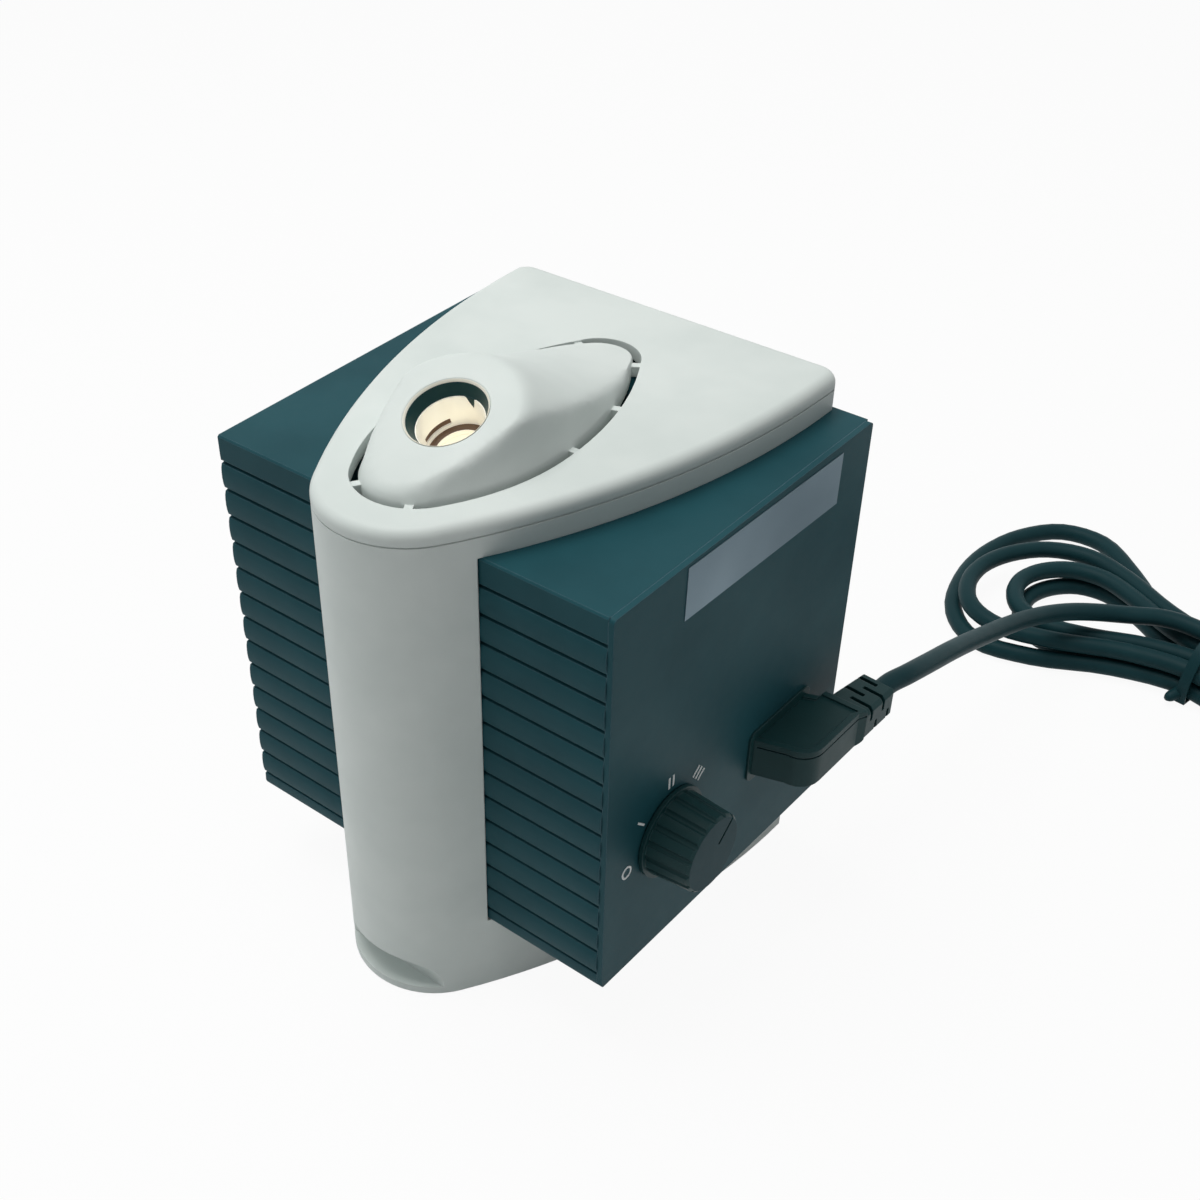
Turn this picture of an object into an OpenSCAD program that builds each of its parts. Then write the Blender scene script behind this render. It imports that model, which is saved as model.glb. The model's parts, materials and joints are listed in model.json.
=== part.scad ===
// Fiber optic illuminator: ribbed lamp box on a C-shaped plastic spine,
// with a raised light-guide port, a four-step selector knob and a mains cord.
// Millimetres. Z is up, the ribbed front faces -Y, the knob is on the +X side.

/* [Box] */
// Width of the box over both side panels
case_w = 153; // [120:1:200]
// Depth of the box, front ribs to rear
case_d = 130; // [110:1:180]
// Height of the box
case_h = 145; // [130:1:200]
// Height of the box floor above the table
case_lift = 32; // [22:1:50]
// Wall of the ribbed sleeve
sleeve_wall = 3; // [2.5:0.5:5]
// Thickness of each side panel
panel_t = 2; // [1.5:0.5:4]
// Corner radius of the side panels
panel_corner_r = 1.5; // [0.5:0.5:5]
// Least smooth height above the highest groove
rib_top = 8; // [6:0.5:20]
// Distance from groove to groove
rib_pitch = 10; // [6:0.5:12]
// Height of the lowest groove above the box floor
rib_first = 5.5; // [4:0.5:12]
// Depth of a groove
groove_depth = 1.4; // [0.6:0.1:2]
// Width of a groove
groove_w = 1.4; // [0.8:0.1:3]
// How far a rib's crest stands out
rib_crown = 0.4; // [0.2:0.1:1.5]
// Number of vent slots in the rear wall
rear_slots = 12; // [4:1:16]
// Width of a vent slot
rear_slot_w = 3; // [2:0.5:5]
// Length of a vent slot
rear_slot_h = 50; // [20:1:90]

/* [Spine] */
// Half width of the spine at its rear
spine_half_w = 63; // [50:1:70]
// How far the nose stands out in front of the box
nose_out = 23.06; // [18:0.02:28]
// Radius of the round nose
spine_nose_r = 29; // [24:1:34]
// Radius of the rear corners
spine_corner_r = 7; // [5:0.2:9]
// How far the spine and the cover stand out behind the box
spine_over = 2.6; // [0:0.1:6]
// Wall of the spine and the top cover
spine_wall = 2.5; // [2:0.25:4]
// How far the top cover stands above the box
spine_rise = 12.2; // [9:0.2:20]
// Height of the cover above its seam
cover_h = 5; // [4:0.5:8]
// Edge rounding of the cover
cover_edge_r = 3.5; // [1:0.25:3.5]
// Depth and height of the shadow groove along the seam
seam_groove = 0.5; // [0.2:0.1:0.8]
// Radius of the finger scoop in the foot
scoop_r = 11.5; // [8:0.5:14]
// Depth of the finger scoop
scoop_depth = 9; // [5:0.5:10]
// Height of the scoop's axis
scoop_z = 5.6; // [4:0.2:12]
// Thickness of the lip below the finger scoop
scoop_lip = 3; // [2.6:0.2:5]
// Height of the rubber feet below the foot
pad_drop = 1.2; // [0.5:0.1:3]
// Radius of a rubber foot
pad_r = 9; // [6:0.5:12]
// Depth of a rubber foot's pocket
pad_pocket = 1; // [0.5:0.1:1.5]
// Distance from a rear foot's centre to the spine's side
pad_side = 17; // [14:0.5:24]
// Distance from a rear foot's centre to the spine's rear
pad_rear = 18; // [14:0.5:24]
// Thickness of the plate that closes the foot
base_plate_t = 2.4; // [2:0.2:4]
// Radius of a closing screw's shank
base_screw_r = 1.5; // [1:0.25:2.5]

/* [Port] */
// Forward tilt of the port
port_tilt = 20.3; // [0:0.1:30]
// Distance of the port's centre behind the front
port_y = 21.4; // [10:0.2:40]
// Height of the port's centre above the cover
port_rise = 13.2; // [10:0.2:20]
// Radius of the port's mouth
port_mouth_r = 12.7; // [10:0.1:16]
// Chamfer of the port's mouth
mouth_chamfer = 0.5; // [0.2:0.1:1]
// Radius of the flat face around the port
face_r = 23.4; // [20:0.2:26]
// Bore radius of the light guide sleeve
guide_bore_r = 10.3; // [6:0.1:11]
// Depth of the light guide bore
guide_bore_len = 11.8; // [8:0.2:16]
// Wall of the light guide sleeve
guide_wall = 1.6; // [1:0.1:3]
// Depth of the sleeve's rim below the face
guide_recess = 4.7; // [3:0.1:8]
// Radius of the light window at the bore's end
window_r = 7.85; // [4:0.05:10]
// Length of the bayonet slot as an angle
slot_arc = 58; // [20:1:90]
// Height of the bayonet slot
slot_h = 2.4; // [1:0.1:3]
// Depth of the locating notch
notch_depth = 4.4; // [2:0.1:6]

/* [Opening] */
// Half width of the oval opening in the cover
oval_half_w = 29; // [26:0.5:34]
// Distance from the front to the oval's widest place
oval_wide_y = 38; // [30:1:45]
// Distance from the nose's tip to the oval's front end
oval_before = 12.36; // [9:0.02:17]
// Distance from the oval's rear end to the spine's rear
oval_behind = 24.3; // [15:0.1:40]
// Radius of the oval's front end
oval_front_r = 20; // [14:0.5:24]
// Radius of the oval's rear end
oval_rear_r = 13; // [8:0.5:18]
// Width of the vent gap around the dome
vent_gap = 2.6; // [1.5:0.1:4]
// Wall of the collar below the opening
collar_wall = 1.6; // [1:0.1:3]
// Depth of the collar below the cover's top
collar_h = 4.6; // [3:0.2:4.8]
// Thickness of the window at the bore's end
window_t = 1.5; // [1:0.1:3]
// Width of a bridging tab
tab_w = 2.6; // [1.5:0.1:4]

/* [Knob] */
// Distance of the knob's axis behind the front
knob_y = 32; // [26:1:50]
// Height of the knob's axis above the box floor
knob_z = 46; // [30:1:80]
// Radius of the knob's skirt
knob_skirt_r = 15.8; // [12:0.2:17]
// Thickness of the skirt
knob_skirt_t = 1.4; // [1:0.2:4]
// Radius of the knob at the skirt
knob_root_r = 14.4; // [10:0.2:16]
// Radius of the knob's face
knob_face_r = 13.4; // [9:0.2:15]
// Height of the knob
knob_h = 16.5; // [12:0.5:24]
// Number of flutes
knob_flutes = 16; // [10:1:30]
// Gap between knob and panel
knob_gap = 0.4; // [0.2:0.1:1]
// Angle of the pointer at the highest step
dial_start = 42; // [20:1:60]
// Angle between two steps
dial_step = 48; // [30:1:50]
// Radius where the dial marks begin
dial_r = 17.8; // [17:0.2:22]
// Length of a dial mark
dial_mark_len = 4.4; // [2:0.2:6]
// Radius of the switch shaft
shaft_r = 3; // [2:0.25:4]
// Length of the bare label plate
label_w = 80; // [40:1:100]
// Height of the bare label plate
label_h = 17.8; // [10:0.2:20]

/* [Mains inlet and cord] */
// Distance of the inlet's centre behind the front
inlet_y = 93; // [85:1:100]
// Height of the inlet's centre above the box floor
inlet_z = 45; // [35:1:70]
// Width of the inlet's flange
flange_w = 35; // [32:0.5:40]
// Height of the inlet's flange
flange_h = 20.5; // [19:0.5:26]
// Width of the plug's nose
nose_w = 23.6; // [20:0.2:25]
// Height of the plug's nose
nose_h = 12.4; // [10:0.2:14]
// Length of the plug's nose inside the inlet
nose_len = 16; // [12:0.5:18]
// Height of the plug's body
plug_h = 14.5; // [14:0.5:18]
// How far the plug stands out from the flange
plug_reach = 19; // [16:0.5:26]
// Length of the strain relief
boot_len = 18.3; // [14:0.1:30]
// Diameter of the cord
cord_d = 7.3; // [5:0.1:8]
// Least space between two cord strands
strand_gap = 0.9; // [0.5:0.1:2]

/* [Lamp] */
// How far the lamp frame reaches in front of the port
frame_before = 11.4; // [8:0.2:14]
// How far the lamp frame reaches behind the port
frame_behind = 44.6; // [36:0.2:50]
// Radius of the reflector's rim
lamp_rim_r = 25; // [18:0.5:27]
// Depth of the reflector bowl
lamp_bowl_h = 22; // [16:0.5:26]
// Distance from the port's face to the reflector's rim
lamp_rim_depth = 46; // [40:0.5:56]
// Radius of the reflector's flange
lamp_flange_r = 26.5; // [20:0.5:28]
// Distance from the port's face to the heat filter
filter_depth = 36.5; // [30:0.5:38]
// Radius of the heat filter glass
filter_r = 14; // [10:0.5:16]
// Thickness of the heat filter glass
filter_t = 3; // [2:0.5:4]
// Half width of the lamp frame
lamp_frame_half_w = 31; // [28:0.5:34]
// Sheet thickness of the lamp frame
lamp_frame_t = 1.5; // [1:0.25:2.5]

/* [Power supply] */
// Width of the transformer core
core_w = 66; // [50:1:70]
// Height of the transformer core
core_h = 55; // [40:1:60]
// Stack of the transformer core
core_t = 30; // [20:1:36]
// Width of the circuit board
board_w = 52; // [30:1:60]
// Height of the circuit board
board_h = 70; // [40:1:90]

/* [Fits] */
// Clearance between a fixed piece and its seat
fit_gap = 0.15; // [0.1:0.05:0.4]
// Clearance around a turning or lifting piece
run_gap = 0.25; // [0.15:0.05:0.5]
// Radial clearance of the switch's shaft
shaft_gap = 0.08; // [0.02:0.01:0.1]
// Which piece to show

/* [Hidden] */
$fn = 96;
eps = 0.01;
corner_spread = 0.5;
big = 400;

// Heights and centres that follow from the sizes above
case_top = case_lift + case_h;
rib_count = floor((case_h - rib_first - rib_top) / rib_pitch) + 1;
cover_top = case_top + spine_rise;
seam_z = cover_top - cover_h;
panel_in_x = case_w / 2 - panel_t;
panel_out_x = case_w / 2;
inner_front = sleeve_wall;
inner_rear = case_d - sleeve_wall;
inner_floor = case_lift + sleeve_wall;
inner_roof = case_top - sleeve_wall;
nose_tip_y = -nose_out;
nose_y = nose_tip_y + spine_nose_r;
spine_d = case_d + spine_over;
spine_wide_y = spine_d - spine_corner_r;
spine_run = spine_wide_y - nose_y;
spine_side_r = (pow(spine_half_w, 2) + pow(spine_run, 2) - pow(spine_nose_r, 2))
  / (2 * (spine_half_w - spine_nose_r));
side_x = spine_side_r - spine_half_w;
foot_z = pad_drop;
deck_z = case_lift - spine_wall;
oval_front = nose_tip_y + oval_before;
oval_rear = case_d - oval_behind;
port_z = cover_top + port_rise;
knob_axis_z = case_lift + knob_z;
inlet_axis_z = case_lift + inlet_z;
flange_t = 0.8;
plug_root_x = panel_out_x + flange_t;
plug_out_x = plug_root_x + plug_reach;

// ---------- shared shapes ----------

// A disc whose rim follows [inset, z] pairs from bottom to top
module rim_disc(r, rim) {
  last = len(rim) - 1;
  rotate_extrude()
    polygon(concat([[0, rim[0][1]]], [for (p = rim) [r - p[0], p[1]]], [[0, rim[last][1]]]));
}

// Prism of a plan polygon over the height of a rim list
module rim_prism(points, rim) {
  last = len(rim) - 1;
  translate([0, 0, rim[0][1]])
    linear_extrude(rim[last][1] - rim[0][1])
      polygon(points);
}

// Half plane wedge on one side of a round end, mirrored left and right
function wedge(from_y, to_y, dx, dy, reach) =
  [[0, from_y], [dx * reach, from_y + dy * reach], [dx * reach, to_y],
   [-dx * reach, to_y], [-dx * reach, from_y + dy * reach]];

// The spine's plan form: round nose, long side curves, flat rear
module spine_form(rim) {
  unit = spine_side_r - spine_nose_r;
  dx = side_x / unit;
  dy = (nose_y - spine_wide_y) / unit;
  intersection() {
    union() {
      intersection() {
        translate([-side_x, spine_wide_y, 0])
          rim_disc(spine_side_r, rim);
        translate([side_x, spine_wide_y, 0])
          rim_disc(spine_side_r, rim);
        rim_prism(wedge(nose_y, spine_d, dx, dy, spine_half_w / dx + 10), rim);
      }
      translate([0, nose_y, 0])
        rim_disc(spine_nose_r, rim);
    }
    spine_rear(rim);
  }
}

// Everything in front of the spine's flat rear and inside its rear corners
module spine_rear(rim) {
  last = len(rim) - 1;
  inset = rim[0][0];
  corner = max(0.5, spine_corner_r - inset);
  half_w = spine_half_w + corner_spread - inset;
  rear_y = spine_d - inset;
  from_corner = [for (p = rim) [p[0] - inset, p[1]]];
  intersection() {
    translate([-big, 0, 0])
      rotate([90, 0, 90])
        linear_extrude(2 * big)
          polygon(concat([[-big, rim[0][1]]], [for (p = rim) [spine_d - p[0], p[1]]],
            [[-big, rim[last][1]]]));
    union() {
      translate([0, 0, rim[0][1] - 1])
        linear_extrude(rim[last][1] - rim[0][1] + 2)
          union() {
            translate([-half_w, -big])
              square([2 * half_w, big + rear_y - corner]);
            translate([corner - half_w, -big])
              square([2 * (half_w - corner), big + rear_y]);
          }
      for (side = [-1, 1])
        translate([side * (half_w - corner), rear_y - corner, 0])
          rim_disc(corner, from_corner);
    }
  }
}

// The oval plan form of the cover's opening and of the dome
module oval_form(rim, bulge = 0) {
  front_y = oval_front + oval_front_r;
  rear_y = oval_rear - oval_rear_r;
  front_k = oval_half_w - oval_front_r;
  rear_k = oval_half_w - oval_rear_r;
  front_x = (pow(oval_wide_y - front_y, 2) - pow(front_k, 2)) / (2 * front_k);
  rear_x = (pow(rear_y - oval_wide_y, 2) - pow(rear_k, 2)) / (2 * rear_k);
  front_u = front_x + front_k;
  rear_u = rear_x + rear_k;
  union() {
    intersection() {
      for_side(front_x, rim);
      mirror([1, 0, 0])
        for_side(front_x, rim);
      rim_prism(wedge(front_y, oval_wide_y, front_x / front_u,
        (front_y - oval_wide_y) / front_u, oval_half_w * 1.5), rim);
    }
    intersection() {
      for_side(rear_x, rim);
      mirror([1, 0, 0])
        for_side(rear_x, rim);
      rim_prism(wedge(rear_y, oval_wide_y, rear_x / rear_u,
        (rear_y - oval_wide_y) / rear_u, oval_half_w * 1.5), rim);
    }
    translate([0, front_y, 0])
      rim_disc(oval_front_r + bulge, rim);
    translate([0, rear_y, 0])
      rim_disc(oval_rear_r + bulge, rim);
  }
}

// One large disc of the oval, centred off to the left
module for_side(centre_x, rim) {
  translate([-centre_x, oval_wide_y, 0])
    rim_disc(centre_x + oval_half_w, rim);
}

// Places its children in the tilted frame of the port
module at_port() {
  translate([0, port_y, port_z])
    rotate([port_tilt, 0, 0])
      children();
}

// A tube between two depths along the local Z axis
module tube(outer_r, inner_r, z0, z1) {
  difference() {
    translate([0, 0, z0])
      cylinder(r = outer_r, h = z1 - z0);
    translate([0, 0, z0 - 1])
      cylinder(r = inner_r, h = z1 - z0 + 2);
  }
}

// A box given by its lowest and highest corner
module block(low, high) {
  translate(low)
    cube(high - low);
}

// A flat rectangle with round corners in the Y-Z plane, grown along X
module panel_form(x0, x1, y0, y1, z0, z1, r) {
  intersection() {
    union() {
      block([x0, y0 + r, z0], [x1, y1 - r, z1]);
      block([x0, y0, z0 + r], [x1, y1, z1 - r]);
      for (y = [y0 + r, y1 - r])
        for (z = [z0 + r, z1 - r])
          translate([x0, y, z])
            rotate([0, 90, 0])
              cylinder(r = r, h = x1 - x0);
    }
    block([x0, y0, z0], [x1, y1, z1]);
  }
}

// A pan-head screw along +Z with its head at the origin
module screw(shank_r, length, head_r, head_h) {
  difference() {
    union() {
      cylinder(r = shank_r, h = length);
      translate([0, 0, -head_h])
        cylinder(r = head_r, h = head_h);
    }
    translate([-head_r, -0.4, -head_h - 1])
      cube([2 * head_r, 0.8, 1.6]);
  }
}

// ---------- top cover and port ----------

function arc_rim(r, z0, steps) =
  [for (i = [0:steps]) [r - r * cos(90 * i / steps), z0 + r * sin(90 * i / steps)]];

module top_cover() {
  edge = arc_rim(cover_edge_r, cover_top - cover_edge_r, 6);
  bulge = 0.08;
  color("gainsboro")
    difference() {
      spine_form(concat([[0, seam_z]], edge));
      difference() {
        spine_form([[spine_wall, seam_z - 1], [spine_wall, cover_top - spine_wall]]);
        oval_form([[-collar_wall, cover_top - collar_h], [-collar_wall, cover_top]], bulge);
      }
      oval_form([[0, seam_z - 1], [0, cover_top + 1]], bulge);
    }
}

// Outside of the dome, with every surface moved inward by a wall
module dome_form(wall, low_z) {
  flare = [[vent_gap, cover_top - 0.8], [vent_gap + 0.8, cover_top + 1],
    [vent_gap + 1.7, cover_top + 3.4], [vent_gap + 2.5, cover_top + 7.4],
    [vent_gap + 3.1, cover_top + 12.4], [vent_gap + 3.3, cover_top + 26]];
  rim = concat([[vent_gap + wall, low_z]], [for (p = flare) [p[0] + wall, p[1]]]);
  slide_r = 156;
  slide_from = 52;
  slide_to = 27;
  slide_steps = 8;
  slide = [for (i = [0:slide_steps])
    let (a = slide_from + (slide_to - slide_from) * i / slide_steps)
      [face_r + slide_r * (sin(slide_from) - sin(a)),
       -wall * 1.2 - slide_r * (cos(a) - cos(slide_from))]];
  far = slide[slide_steps];
  difference() {
    oval_form(rim);
    at_port() {
      translate([-big / 2, -big / 2, -wall])
        cube([big, big, big]);
      difference() {
        rotate_extrude()
          polygon(concat(slide, [[far[0] + 40, far[1] - 40 * tan(slide_to)],
            [far[0] + 40, 60], [face_r, 60]]));
        translate([-big / 2, -big - 1, -big / 2])
          cube([big, big, big]);
      }
    }
  }
}

// Distances of the bridging tabs behind the front, and their turns about the side arcs
tab_places = [oval_rear - 8.1, (oval_rear + oval_wide_y) / 2 + 0.55, oval_wide_y + 7.6];
front_tab_turn = -57;

// A tab that reaches from the dome across the gap into the collar, at the origin along +X
module bridge_tab() {
  tab_in = 2.6;
  bite = 0.8;
  block([-vent_gap - tab_in, -tab_w / 2, cover_top - spine_wall - 1.6],
    [bite, tab_w / 2, cover_top - 0.6]);
}

module bridge_tabs() {
  rear_k = oval_half_w - oval_rear_r;
  arc_x = (pow(oval_rear - oval_rear_r - oval_wide_y, 2) - pow(rear_k, 2)) / (2 * rear_k);
  arc_r = arc_x + oval_half_w;
  for (y = tab_places)
    translate([-arc_x, oval_wide_y, 0])
      rotate([0, 0, asin((y - oval_wide_y) / arc_r)])
        translate([arc_r, 0, 0])
          bridge_tab();
  translate([0, oval_front + oval_front_r, 0])
    rotate([0, 0, front_tab_turn])
      translate([oval_front_r, 0, 0])
        bridge_tab();
}

module port_dome() {
  wall = 2.4;
  low_z = cover_top - spine_wall - 2;
  color("gainsboro")
    difference() {
      union() {
        difference() {
          dome_form(0, low_z);
          dome_form(wall, low_z - 1);
        }
        for (side = [0, 1])
          mirror([side, 0, 0])
            difference() {
              bridge_tabs();
              dome_form(wall / 2, low_z - 5);
            }
      }
      at_port() {
        translate([0, 0, -wall - 2])
          cylinder(r = port_mouth_r, h = wall + 4);
        translate([0, 0, -mouth_chamfer])
          cylinder(r1 = port_mouth_r, r2 = port_mouth_r + 2 * mouth_chamfer,
            h = 2 * mouth_chamfer);
      }
    }
}

ring_flange_r = 16;
ring_seat = 2.4 + fit_gap;

bore_low = -guide_recess - guide_bore_len;
bore_floor_t = 1.5;
clip_t = 1;
window_low = bore_low - bore_floor_t - window_t;
ring_low = window_low - clip_t;

module port_ring() {
  ring_top = 0.8;
  lip_r = guide_bore_r + 0.2;
  sleeve_r = guide_bore_r + guide_wall;
  color("black")
    at_port()
      difference() {
        union() {
          translate([0, 0, -guide_recess])
            cylinder(r = port_mouth_r - fit_gap, h = guide_recess - ring_top);
          translate([0, 0, -ring_seat - 2.4])
            cylinder(r = ring_flange_r, h = 2.4);
          translate([0, 0, ring_low])
            cylinder(r = sleeve_r + 2, h = -ring_low - guide_recess);
        }
        translate([0, 0, -guide_recess])
          cylinder(r1 = lip_r, r2 = port_mouth_r - fit_gap - 0.4, h = guide_recess - ring_top + eps);
        translate([0, 0, ring_low - 1])
          cylinder(r = sleeve_r + fit_gap, h = -ring_low - guide_recess + 1);
        translate([0, 0, -guide_recess - 1])
          cylinder(r = lip_r, h = 2);
      }
}

// The clear window at the end of the bore, and the ring that clips it in
module exit_window() {
  color("lightcyan")
    at_port()
      translate([0, 0, window_low])
        cylinder(r = guide_bore_r + guide_wall, h = window_t);
}

module window_clip() {
  color("silver")
    at_port()
      tube(guide_bore_r + guide_wall, window_r + 1, ring_low, window_low);
}

module guide_sleeve() {
  outer_r = guide_bore_r + guide_wall;
  slot_end = 141;
  slot_mid = slot_end + slot_arc / 2;
  slot_top = bore_low + 1.3 + slot_h;
  notch_half_w = 2;
  notch_turn = 184;
  color("goldenrod")
    at_port()
      difference() {
        union() {
          tube(outer_r, guide_bore_r, bore_low, -guide_recess - fit_gap);
          tube(outer_r, window_r, bore_low - bore_floor_t, bore_low);
        }
        intersection() {
          translate([0, 0, slot_top - slot_h])
            cylinder(r = outer_r - 0.4, h = slot_h);
          rotate([0, 0, slot_mid])
            linear_extrude(big, center = true)
              polygon([[0, 0], [outer_r * 2, -outer_r * 2 * tan(slot_arc / 2)],
                [outer_r * 2, outer_r * 2 * tan(slot_arc / 2)]]);
        }
        rotate([90, 0, notch_turn])
          linear_extrude(outer_r + 2)
            polygon([[0, -guide_recess - notch_depth],
              [notch_half_w, -guide_recess + 1], [-notch_half_w, -guide_recess + 1]]);
      }
}

// ---------- lamp ----------

module heat_filter() {
  color("lightcyan")
    at_port()
      translate([0, 0, -filter_depth - filter_t])
        cylinder(r = filter_r, h = filter_t);
}

module filter_clip() {
  low = -filter_depth - filter_t - clip_t;
  color("silver")
    at_port()
      union() {
        tube(filter_r + fit_gap + clip_t, filter_r + fit_gap, low, -filter_depth + 0.8);
        tube(filter_r + fit_gap + clip_t, filter_r - 2, low, low + clip_t);
      }
}

lamp_low = -lamp_rim_depth - lamp_bowl_h;
neck_h = 8;
socket_h = 12;
shelf_low = lamp_low - neck_h - socket_h - lamp_frame_t;

function bowl_rim(grow) =
  [for (i = [0:8]) let (f = i / 8) [4.6 + (lamp_rim_r - 1.5 - 4.6) * sqrt(f) + grow, lamp_bowl_h * f]];

module lamp_reflector() {
  skin = 1.5;
  neck_r = pin_span / 2 + 0.75 + fit_gap;
  color("silver")
    at_port()
      translate([0, 0, lamp_low])
        difference() {
          union() {
            rotate_extrude()
              polygon(concat([[0, -skin], [4.6 + skin, -skin]], bowl_rim(skin), [[0, lamp_bowl_h]]));
            block([-7.5, -5, -neck_h], [7.5, 5, 0]);
            translate([0, 0, lamp_bowl_h - flange_t])
              cylinder(r = lamp_flange_r, h = flange_t);
          }
          rotate_extrude()
            polygon(concat([[0, -1], [neck_r, -1]], bowl_rim(0), [[0, lamp_bowl_h + eps]]));
          translate([0, 0, lamp_bowl_h])
            cylinder(r = lamp_rim_r - 1.5, h = 1);
          translate([0, 0, -neck_h - 1])
            cylinder(r = neck_r, h = neck_h + 2);
        }
}

module lamp_capsule() {
  bulb_r = 4.2;
  color("aliceblue")
    at_port()
      translate([0, 0, lamp_low]) {
        translate([0, 0, 6])
          cylinder(r = bulb_r, h = 6);
        translate([0, 0, 12])
          sphere(r = bulb_r);
        translate([-2.5, -0.9, -6])
          cube([5, 1.8, 12.5]);
      }
}

pin_span = 5.3;

module lamp_pins() {
  color("gold")
    at_port()
      translate([0, 0, lamp_low])
        for (side = [-1, 1])
          translate([side * pin_span / 2, 0, -14])
            cylinder(r = 0.75, h = 8 - eps);
}

module lamp_socket() {
  color("ivory")
    at_port()
      translate([0, 0, lamp_low - neck_h - socket_h])
        difference() {
          block([-9, -6.5, 0], [9, 6.5, socket_h - fit_gap]);
          for (side = [-1, 1])
            translate([side * pin_span / 2, 0, 4])
              cylinder(r = 0.75 + fit_gap, h = socket_h);
          for (side = [-1, 1])
            translate([side * pin_span / 2, 0, -1])
              cylinder(r = 1.1 + fit_gap, h = 4);
        }
}

// Side outline of the lamp frame in the Y-Z plane
frame_front_y = port_y - frame_before;
frame_rear_y = port_y + frame_behind;
frame_d = frame_before + frame_behind;

module lamp_frame() {
  half = lamp_frame_half_w;
  sheet = lamp_frame_t;
  rim_low = -lamp_rim_depth - flange_t - sheet;
  filter_low = -filter_depth - filter_t - clip_t - sheet;
  roof = inner_roof - run_gap;
  color("silver")
    difference() {
      union() {
        intersection() {
          union() {
            for (side = [0, 1])
              mirror([side, 0, 0])
                block([half - sheet, frame_front_y, inner_floor], [half, frame_rear_y, roof]);
            at_port() {
              block([-half, -30, rim_low], [half, 42, rim_low + sheet]);
              block([-half, -17, filter_low], [half, 17, filter_low + sheet]);
              block([-half, -9, shelf_low], [half, 12, shelf_low + sheet]);
            }
          }
          block([-half, frame_front_y, inner_floor], [half, frame_rear_y, roof]);
        }
        for (side = [0, 1])
          mirror([side, 0, 0])
            block([half, frame_front_y + frame_d * 0.2, inner_floor],
              [half + 9, frame_rear_y - frame_d * 0.07, inner_floor + sheet]);
      }
      at_port() {
        translate([0, 0, rim_low - 1])
          cylinder(r = lamp_rim_r - 0.1, h = sheet + 2);
        translate([0, 0, filter_low - 1])
          cylinder(r = filter_r - 1, h = sheet + 2);
        for (side = [-1, 1])
          translate([side * pin_span / 2, 0, shelf_low - 1])
            cylinder(r = lead_r + 2 * run_gap, h = sheet + 2);
      }
      for (place = frame_screw_places)
        translate([place[0], place[1], inner_floor - 1])
          cylinder(r = 1.5 + run_gap, h = 4);
      for (z = [inner_floor + case_h * 0.14, inner_floor + case_h * 0.28])
        translate([-half - 1, (frame_front_y + frame_rear_y) / 2, z])
          rotate([0, 90, 0])
            cylinder(r = 7, h = 2 * half + 2);
    }
}

frame_screw_places = [for (side = [-1, 1])
  for (y = [frame_front_y + frame_d * 0.32, frame_front_y + frame_d * 0.82])
    [side * (lamp_frame_half_w + 5), y]];

module lamp_frame_screws() {
  color("silver")
    for (place = frame_screw_places)
      translate([place[0], place[1], inner_floor + lamp_frame_t])
        rotate([180, 0, 0])
          screw(1.5, 4, 2.8, 1.8);
}

// Two leads from the socket to the face of the transformer's winding
lead_r = 1.1;
function on_axis(x, w) = [x, port_y - w * sin(port_tilt), port_z + w * cos(port_tilt)];
lead_ends_z = 72;
lead_bends = [[0.09, 0.2, 0.77], [0.27, 0.38, 0.51], [0.5, 0.6, 0.25], [0.76, 0.8, 0.09],
  [0.92, 0.93, 0.02]];

module lamp_leads() {
  winding_face_y = core_y - (core_t + 2 * leg_w - 4) / 2;
  color("firebrick")
    for (side = [-1, 1]) {
      top = on_axis(side * pin_span / 2, shelf_low - 4);
      low = [core_x + side * pin_span / 2, winding_face_y - 2.5, lead_ends_z];
      swept_tube(concat([on_axis(side * pin_span / 2, shelf_low + lamp_frame_t + 2), top],
        [for (f = lead_bends) [top[0] + (low[0] - top[0]) * f[0],
          top[1] + (low[1] - top[1]) * f[1], low[2] + (top[2] - low[2]) * f[2]]],
        [low, low + [0, 2.5, 0]]), lead_r, 8);
    }
}

// ---------- spine, foot and box ----------

module spine_body() {
  scoop_y = nose_tip_y - scoop_r + scoop_depth;
  rib_room = rib_crown + fit_gap;
  color("gainsboro")
    difference() {
      spine_form([[0, foot_z], [0, seam_z]]);
      difference() {
        spine_form([[-1, seam_z - seam_groove], [-1, seam_z + 1]]);
        spine_form([[seam_groove, seam_z - 1], [seam_groove, seam_z + 1]]);
      }
      block([-case_w, -rib_room, case_lift], [case_w, case_d + 10, case_top]);
      difference() {
        spine_form([[spine_wall, foot_z - 1], [spine_wall, deck_z]]);
        scoop_back(scoop_y);
        for (place = base_screw_places)
          translate([place[0], place[1], 0])
            cylinder(r = 4, h = deck_z + 1);
      }
      intersection() {
        spine_form([[spine_wall, deck_z - 1], [spine_wall, seam_z + 1]]);
        block([-case_w, -case_d, 0], [case_w, -rib_room + eps, big]);
      }
      spine_form([[spine_wall, case_top - 1], [spine_wall, seam_z + 1]]);
      intersection() {
        scoop_rod(scoop_y, 0);
        block([-case_w, -case_d, foot_z + scoop_lip], [case_w, case_d, deck_z]);
      }
      for (place = base_screw_places)
        translate([place[0], place[1], 0])
          cylinder(r = base_screw_r + fit_gap, h = 14);
      difference() {
        spine_form([[spine_wall, foot_z - 1], [spine_wall, foot_z + base_plate_t + fit_gap]]);
        scoop_rod(scoop_y, spine_wall);
      }
      for (place = case_screw_places)
        translate([place[0], place[1], deck_z - 1])
          cylinder(r = 2 + run_gap, h = spine_wall + 2);
    }
}

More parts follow.
